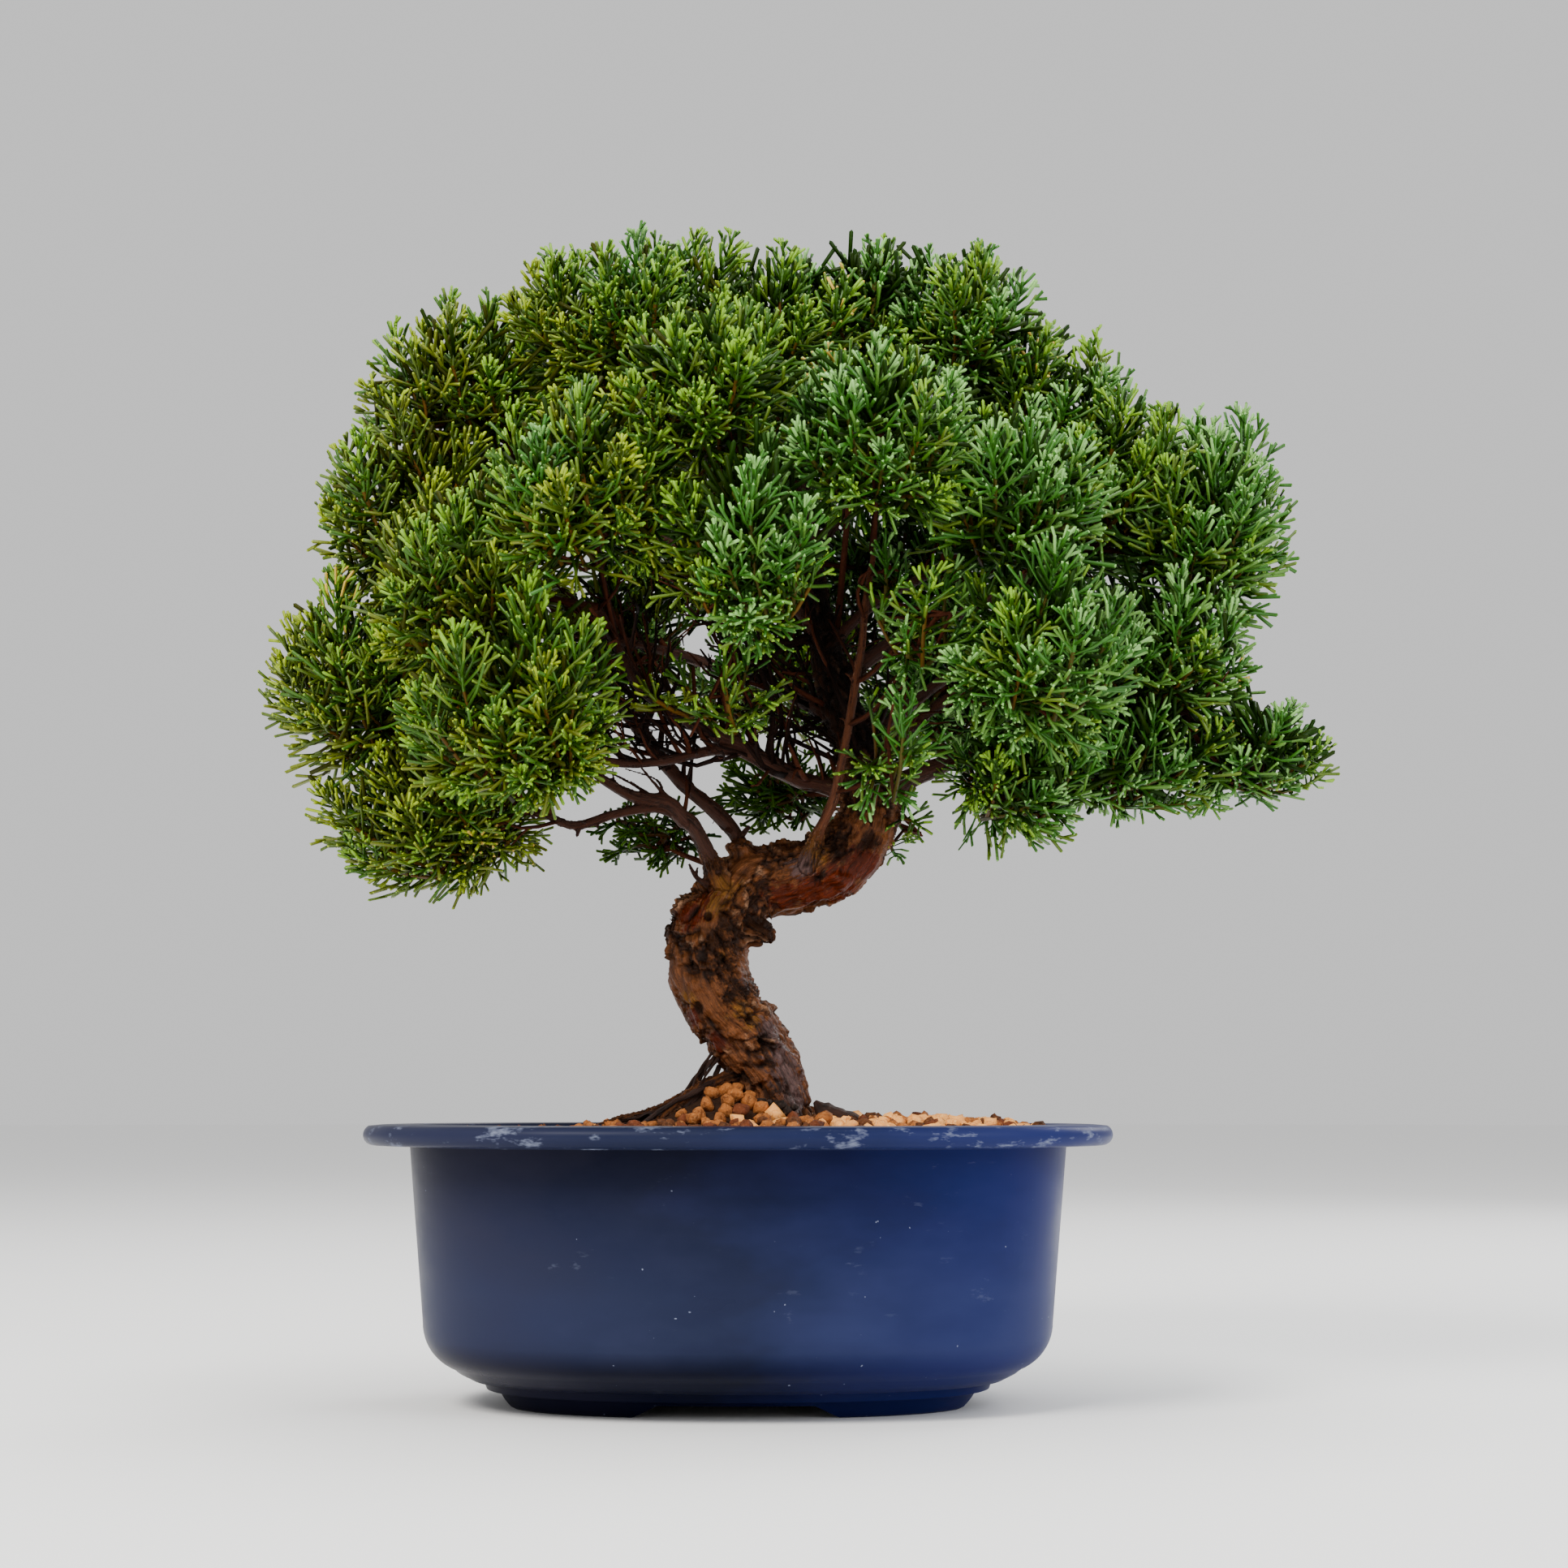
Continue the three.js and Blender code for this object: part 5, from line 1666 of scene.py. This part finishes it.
def spray_model(length, kind, draw):
    """A spray of scale leaves that grows along Z. Long slim cords leave the foot of its axis nearly level,
    and the cords get shorter, steeper and closer up to its head. An open one is flat and has no head.
    It comes with the branch that each point belongs to and the point at which each branch ends."""
    spacing, width, forking, has_head = SPRAY_KINDS[kind]
    heap = Heap()
    owners = []
    ends = []

    def close_branch():
        """Counts what was added since the last call as one branch, which ends where its first cord ends."""
        first = len(owners)
        ends.append(sum(len(part) for part in heap.points[:first + 1]) - 1)
        owners.extend([len(ends) - 1] * (len(heap.points) - first))

    up = np.array((0.0, 0.0, 1.0))
    sway = draw.uniform(-0.06, 0.06)

    def axis_place(share):
        return np.array((length * sway * math.sin(3 * share), 0, length * share))

    axis = [axis_place(share) for share in (0, 0.3, 0.62, 0.97)]
    points, faces = cord(axis, [0.74, 0.7, 0.66, 0.6], draw.uniform(0, 2))
    heap.add(points, faces, graded(STEM, STEM, MIDDLE, TIP))
    close_branch()
    count = round(length / spacing)
    for i in range(count):
        share = 0.06 + 0.9 * ((i + draw.random() * 0.8) / count) ** 0.9
        azimuth = i * GOLDEN_TURN + draw.gauss(0, 0.2)
        if kind == "open":
            azimuth = (i % 2) * math.pi + draw.gauss(0, 0.75)
        angle = math.radians(84 - 52 * share + draw.uniform(-11, 11))
        out = np.array((math.cos(azimuth), math.sin(azimuth), 0))
        direction = math.sin(angle) * out + math.cos(angle) * up
        reach = length * width * (1 - share) ** 0.85 * draw.uniform(0.66, 1.14) + 3.8
        root = axis_place(share)
        middle = root + direction * reach * 0.5
        onward = unit(direction + up * draw.uniform(0.05, 0.45))
        tip = middle + onward * reach * 0.5
        thick = CORD_RADIUS * draw.uniform(0.9, 1.0)
        points, faces = cord([root, middle, tip], [thick * 0.8, thick * 0.94, thick], draw.uniform(0, 2))
        shade = MIDDLE if draw.random() < 0.2 + 0.8 * share else PALE
        if share > 0.72 and draw.random() < 0.5:
            shade = TIP
        base = MIDDLE if share > 0.5 or draw.random() < 0.4 else INNER
        heap.add(points, faces, graded(base, shade, TIP if draw.random() < 0.75 else PALE))
        add_forks(heap, root, middle, tip, reach, shade, forking, draw)
        close_branch()
    if has_head:
        add_stubs(heap, length, axis_place, draw)
        close_branch()
    owners = np.repeat(owners, [len(part) for part in heap.points])
    points, faces, shades = (np.concatenate(parts) for parts in (heap.points, heap.faces, heap.shades))
    return points, faces, shades, owners, ends


def grow_spray(points, length, root, control, tip, face):
    """A model's points, laid along a curve from root to tip, with its flat face turned to a direction."""
    chord = unit(tip - root)
    face = unit(face - chord * face.dot(chord))
    share = points[:, 2:3] / length
    t = np.clip(share, 0, 1)
    centre = (1 - t) ** 2 * root + 2 * t * (1 - t) * control + t * t * tip
    tangent = unit(2 * (1 - t) * (control - root) + 2 * t * (tip - control))
    centre = centre + tangent * (share - t) * length
    side = unit(np.cross(tangent, face))
    flat = np.cross(side, tangent)
    return centre + side * points[:, 0:1] + flat * points[:, 1:2]


def trimmed(points, model, faces, shades):
    """Takes away the branches of a spray that end outside the crown or in open view."""
    owners, ends = model[3:]
    tips = points[ends]
    kept = (crown_depth(tips) < TRIM_FROM) & ~in_open_view(tips)
    kept[0] = True
    kept = kept[owners]
    numbers = np.cumsum(kept) - 1
    whole = kept[faces[:, 0]]
    return points[kept], numbers[faces[whole]], shades[whole]


def tucked(points, at, reach):
    """Draws cords that stick out of the crown back towards the middle of their mass."""
    depth = crown_depth(points)
    own = np.maximum(np.linalg.norm((points - at) / reach, axis=1), 0.3)
    scale = 1 - (1 - TUCK_KEEP) * np.maximum(0, depth - TUCK_FROM) / own
    return at + (points - at) * scale[:, None]


MASS_AT = np.array([mass[0] for mass in MASSES.values()], float)
MASS_REACH = np.array([mass[1] for mass in MASSES.values()], float)
LIMB_LINES = {"trunk": smooth_line(TRUNK_ROUTE, step=2.5)}
LIMB_LINES.update({name: smooth_line(route, step=2.5) for name, route in BOUGHS.items()})
LIMB_BALLS = np.concatenate(list(LIMB_LINES.values()))


def shares_of(points):
    """How far out of each mass a point, or each of many, lies: 1 at the end of its reach."""
    return np.linalg.norm((points[..., None, :] - MASS_AT) / MASS_REACH, axis=-1)


def crown_depth(points):
    """Less than 1 inside the crown. The clefts between masses are filled a little."""
    return -np.log(np.exp(-MELT * shares_of(points)).sum(axis=-1)) / MELT


def clear_of_limbs(point, room):
    return bool((np.linalg.norm(LIMB_BALLS[:, :3] - point, axis=1) > LIMB_BALLS[:, 3] + room).all())


def in_hollow(point):
    return np.linalg.norm((point - HOLLOW[0]) / HOLLOW[1]) < 1


def in_gap(point):
    return np.linalg.norm((point - GAP[0]) / GAP[1]) < 1


def in_open_view(points):
    """Whether a point, or each of many, lies in an open box or near a line of sight."""
    points = np.asarray(points, float)
    found = np.zeros(points.shape[:-1], bool)
    for low, high in OPEN_BOXES:
        found |= ((points > low) & (points < high)).all(axis=-1)
    for start, end, radius in SIGHT_LINES:
        way = unit(np.subtract(end, start))
        found |= np.linalg.norm(np.cross(points - start, way), axis=-1) < radius
    return found


def near_foliage(point):
    return shares_of(point).min() < 1.1


def directions(count, draw):
    """Evenly spread directions, each a little disturbed."""
    found = []
    for i in range(count):
        up = 1 - (2 * i + 1) / count
        out = math.sqrt(1 - up * up)
        way = np.array((out * math.cos(i * GOLDEN_TURN), out * math.sin(i * GOLDEN_TURN), up))
        found.append(unit(way + np.array([draw.uniform(-0.15, 0.15) for _ in range(3)])))
    return found


def stem_route(name):
    """The stem of a mass, from its limb to its heart. It leaves the limb a little before the limb's tip
    where another mass has the tip."""
    at, _, carrier = MASSES[name]
    heart = np.array(at, float)
    if isinstance(carrier, str):
        fellows = [other for other, mass in MASSES.items() if mass[2] == carrier]
        line = LIMB_LINES[carrier]
        place = 1 - FORK_STEP * fellows.index(name)
        start = line[round(place * (len(line) - 1)), :3]
    else:
        start = np.array(carrier, float)
    rise = (start + heart) / 2
    rise[2] -= 0.06 * np.linalg.norm(heart - start)
    end = heart + (heart - start) * 0.5 if name in OPEN_MASSES else heart
    return np.array([start, rise, end])


def tone_weights(point):
    """Olive to the left, green in the middle, cooler to the right."""
    share = min(1.0, max(0.0, (point[0] + 130) / 270))
    return (max(0.0, 1 - 1.9 * share), 0.7, max(0.0, 2.2 * share - 0.6))


def slim_share(point):
    """Long slim sprays grow to the right and low in front, and here and there elsewhere."""
    right = min(1.0, max(0.0, (point[0] - 20) / 80))
    low = min(1.0, max(0.0, (250 - point[2]) / 40))
    return 0.2 + 0.4 * right + 0.2 * low


def curve_point(a, b, c, t):
    return (1 - t) ** 2 * a + 2 * t * (1 - t) * b + t * t * c


def growth_direction(way, tip, draw):
    """Sprays on the sides grow up and out like shingles, those on top stand up, and those underneath
    droop."""
    crown_way = unit((tip - CROWN_MIDDLE) / CROWN_REACH)
    lift = 0.22 * way[2] + 0.78 * crown_way[2]
    slope = math.degrees(math.asin(max(-1.0, min(1.0, lift))))
    rise = math.radians(float(np.interp(slope, *GROWTH)) + draw.gauss(0, 11))
    level = 0.3 * way * (1, 1, 0) + unit(crown_way * (1, 1, 0))
    level = unit(level + np.array((draw.uniform(-0.45, 0.45), draw.uniform(-0.3, 0.3), 0)))
    return level * math.cos(rise) + np.array((0, 0, math.sin(rise)))


def tip_place(index, at, reach, way, draw, is_open):
    """A free place for a tip at the crown's surface, or nothing."""
    if way[2] < -0.2 and not is_open:
        others_below = np.delete(shares_of(at + reach * way - (0, 0, 15)), index)
        if others_below.min() < 1.2:
            return None
    for share in np.arange(1.36, 0.7, -0.05):
        place = at + reach * way * share
        shares = shares_of(place)
        if shares[index] > shares.min() + 0.04 or in_open_view(place):
            continue
        deepest = 1.0 - CROWN_INSET - draw.uniform(-0.05, 0.18)
        if crown_depth(place) <= deepest and clear_of_limbs(place, LEAF_ROOM):
            return place
    return None


def spray_route(tip, growth, at, reach, size, draw):
    """Where the spray of a tip starts, the point that bends it, and its length."""
    drooping = growth[2] < DROOPS_UNDER
    length = size * draw.uniform(1.4, 1.95) * (0.75 if drooping else 1)
    root = tip - growth * length
    for _ in range(4):
        if np.linalg.norm((root - at) / reach) > 0.9:
            root = root + (at - root) * 0.25
    length = float(np.linalg.norm(tip - root))
    control = (root + tip) / 2 + length * 0.16 * unit(growth * (1, 1, 0))
    control[2] += 0.1 * length if drooping else -0.1 * length
    return root, control, length


def grown_spray(models, kind, route, tip, way, draw):
    """A spray of this kind along its route, and the model that it was made from."""
    root, control, length = route
    lengths = SPRAY_LENGTHS[kind]
    nearest = int(np.argmin([abs(length - size) for size in lengths]))
    model = models[kind][nearest][draw.randrange(SPRAY_MODELS)]
    outward = unit(unit(tip - CROWN_MIDDLE) + way)
    roll = np.array([draw.uniform(-0.5, 0.5) for _ in range(3)])
    return grow_spray(model[0], lengths[nearest], root, control, tip, unit(outward + roll)), model


def spray_shades(name, model, tip, draw):
    """The material of each face of a spray: its own tone, and now and then some yellow tips."""
    # Masses in shade take the deep tone: painted shade.
    tone = PAINTED_SHADE_TONE if name in SHADED_MASSES else draw.choices((OLIVE, GREEN, COOL), tone_weights(tip))[0]
    shades = model[2] + len(LEAF_PARTS) * tone
    if draw.random() < YELLOW_SHARE:
        some = np.arange(len(shades)) // 10 % 3 == 0
        shades = np.where((model[2] == TIP) & some, YELLOW, shades)
    return shades


def add_carrier(twigs, stem, root, growth, draw):
    """A twig from the mass's stem to a spray's root."""
    fork = curve_point(*stem, draw.uniform(0.5, 1.0))
    elbow = (fork + root) / 2 + np.array([draw.uniform(-2, 2) for _ in range(3)])
    points, faces = cord([fork, elbow, root + growth * 2], [0.75, 0.65, 0.6], draw.uniform(0, 2))
    twigs.add(points, faces, 0)


def make_mass(name, index, models, twigs):
    """Sprays all over one mass, and the twigs that carry them from its stem."""
    draw = random.Random(1009 + 37 * index)
    at = np.array(MASSES[name][0], float)
    reach = np.array(MASSES[name][1], float)
    is_open = name in OPEN_MASSES
    stem = stem_route(name)
    leaves = Heap()
    size = float(np.cbrt(reach.prod()))
    stem_rows = [curve_point(*stem, t) for t in (0, 0.35, 0.7, 1)]
    thick = np.array(STEM_RADII) * (OPEN_STEM if is_open else 1)
    points, faces = cord(stem_rows, thick, 0)
    twigs.add(points, faces, 0)
    closer = SHADED_SPRAYS if name in SHADED_MASSES else 1.0
    count = round(4 * math.pi * size ** 2 / SPRAY_SPACING ** 2 * closer)
    spires = [np.array(tip, float) for tip in SPIRES.get(name, [])]
    starts = [(unit((tip - at) / reach), tip) for tip in spires]
    for way in directions(count, draw):
        starts.append((way, tip_place(index, at, reach, way, draw, is_open)))
    for number, (way, tip) in enumerate(starts):
        if tip is None:
            continue
        growth = growth_direction(way, tip, draw)
        drooping = growth[2] < DROOPS_UNDER
        route = spray_route(tip, growth, at, reach, size, draw)
        kind = "slim" if draw.random() < slim_share(tip) else "dense"
        if is_open or (drooping and draw.random() < OPEN_SHARE):
            kind = "open"
        grown, model = grown_spray(models, kind, route, tip, way, draw)
        shades = spray_shades(name, model, tip, draw)
        faces = model[1]
        if number >= len(spires) and not drooping:
            grown, faces, shades = trimmed(grown, model, faces, shades)
            grown = tucked(grown, at, reach)
        leaves.add(grown, faces, shades)
        add_carrier(twigs, stem, route[0], growth, draw)
    if not is_open:
        add_inner_cords(leaves, at, reach, draw)
    piece = leaves.piece("foliage_" + name, leaf_materials)
    hand_over(piece, [name])


def add_inner_cords(leaves, at, reach, draw):
    """Shaded cords inside the mass, which close the view through it."""
    for _ in range(INNER_CORDS):
        way = unit(np.array([draw.gauss(0, 1) for _ in range(3)]))
        start = at + reach * way * draw.uniform(0.1, 0.9)
        lean = unit(way + np.array([draw.uniform(-0.9, 0.9) for _ in range(3)]) + (0, 0, 0.5))
        tip = start + lean * draw.uniform(7, 13)
        if crown_depth(tip) > INNER_DEPTH or in_hollow(tip) or in_open_view(tip):
            continue
        points, faces = cord([start, tip], [0.7, 0.8], draw.uniform(0, 2))
        tone = draw.choices((OLIVE, GREEN, COOL), tone_weights(tip))[0]
        leaves.add(points, faces, len(LEAF_PARTS) * tone + INNER)


def add_twig(heap, root, way, length, radius, depth, draw):
    """A thin bare twig that wanders and forks."""
    bow = np.array([draw.uniform(-0.12, 0.12) for _ in range(3)]) * length
    middle = root + way * length * 0.5 + bow
    tip = root + way * length + (0, 0, 0.08 * length)
    points, faces = cord(
        [root, (root + middle) / 2 + bow * 0.3, middle, tip],
        [radius, radius * 0.85, radius * 0.75, radius * 0.5],
        draw.uniform(0, 2),
    )
    heap.add(points, faces, 1 if in_hollow(middle) and draw.random() < SHADED_TWIGS else 0)
    if depth == 0:
        return
    for _ in range(draw.choice((1, 1, 2, 2))):
        start = curve_point(root, 2 * middle - (root + tip) / 2, tip, draw.uniform(0.35, 0.95))
        side = unit(way + np.array([draw.uniform(-1, 1) for _ in range(3)]) * 0.9)
        add_twig(heap, start, side, length * draw.uniform(0.3, 0.6), radius * 0.62, depth - 1, draw)


def add_fine_twigs(heap, line, more, draw):
    """Thin bare twigs that leave a limb every few millimetres, longer and closer in the crown's hollow.
    Each place has this many more twigs than it would have."""
    tangents, sides, faces = line_frames(line)
    steps = np.linalg.norm(np.diff(line[:, :3], axis=0), axis=1).mean()
    every = max(1, round(FINE_TWIG_SPACING / steps))
    for i in range(every * 2, len(line), every):
        root = line[i, :3]
        hollow = in_hollow(root)
        for _ in range(draw.choice((1, 2)) + more if hollow else 1 + more):
            angle = draw.uniform(0, 2 * math.pi)
            out = sides[i] * math.cos(angle) + faces[i] * math.sin(angle)
            way = unit(out + tangents[i] * draw.uniform(0.2, 1.0) + (0, 0, 0.4))
            length = draw.uniform(14, 34) if hollow else draw.uniform(9, 22)
            tip = root + way * length
            in_the_way = in_gap(tip) or in_gap((root + tip) / 2) or in_open_view(tip)
            if in_the_way or not (near_foliage(tip) or in_hollow(tip)):
                continue
            start = root + out * line[i, 3] * 0.5
            add_twig(heap, start, way, length, draw.uniform(0.6, 1.3), 2 if hollow else 1, draw)


def make_foliage():
    draw = random.Random(5)
    models = {
        kind: [[spray_model(length, kind, draw) for _ in range(SPRAY_MODELS)] for length in lengths]
        for kind, lengths in SPRAY_LENGTHS.items()
    }
    twigs = {}
    for index, (name, (_, _, carrier)) in enumerate(MASSES.items()):
        limb = carrier if isinstance(carrier, str) else "trunk"
        twigs.setdefault(limb, Heap())
        make_mass(name, index, models, twigs[limb])
    for limb, heap in twigs.items():
        line = LIMB_LINES[limb]
        more = 0
        if limb == "trunk":
            line = line[int(len(line) * TRUNK_TWIGS_FROM):]
            more = 2
        add_fine_twigs(heap, line, more, draw)
        piece = heap.piece("twigs_of_" + limb, [twig_bark, shaded_twig_bark])
        hand_over(piece, [])


# Stage

def make_stage():
    """A plain pale floor under soft studio light, and the camera."""
    deselect()
    bpy.ops.mesh.primitive_circle_add(vertices=96, radius=9, fill_type="NGON")
    floor = bpy.context.object
    floor.name = "floor"
    paper = bpy.data.materials.new("floor_paper")
    paper.use_nodes = True
    paper.node_tree.nodes["Principled BSDF"].inputs["Base Color"].default_value = (0.95, 0.95, 0.945, 1)
    paper.node_tree.nodes["Principled BSDF"].inputs["Roughness"].default_value = 0.9
    floor.data.materials.append(paper)

    world = bpy.data.worlds.new("studio")
    world.use_nodes = True
    world.node_tree.nodes["Background"].inputs["Color"].default_value = (1, 1, 1, 1)
    world.node_tree.nodes["Background"].inputs["Strength"].default_value = 0.8
    bpy.context.scene.world = world

    target = Vector((0, 0, 0.2))
    # Place, width, power in watts and colour of each lamp
    lamps = {
        "key": ((-0.75, -1.0, 1.25), 0.6, 32, (1.0, 0.97, 0.92)),
        "fill": ((1.1, -0.9, 0.8), 0.9, 12, (0.95, 0.98, 1.0)),
        "top": ((0.1, 0.1, 1.5), 0.8, 14, (1.0, 1.0, 1.0)),
        "rim": ((0.9, 1.0, 0.8), 0.6, 7, (1.0, 1.0, 1.0)),
    }
    for name, (place, size, power, colour) in lamps.items():
        deselect()
        bpy.ops.object.light_add(type="AREA", location=place)
        lamp = bpy.context.object
        lamp.name = name
        lamp.data.size = size
        lamp.data.energy = power
        lamp.data.color = colour
        lamp.rotation_euler = (target - Vector(place)).to_track_quat("-Z", "Y").to_euler()

    deselect()
    tilt = math.radians(90 + CAMERA_LOOKS_UP)
    bpy.ops.object.camera_add(location=placed(CAMERA_AT), rotation=(tilt, 0, 0))
    camera = bpy.context.object
    camera.data.lens = CAMERA_LENS
    camera.data.sensor_width = 36
    camera.data.clip_end = 50
    bpy.context.scene.camera = camera


make_stage()
make_pot()
make_soil()
make_trunk()
make_hair_roots()
for order, (bough_name, bough_route) in enumerate(BOUGHS.items()):
    make_bough(bough_name, bough_route, order)
make_foliage()
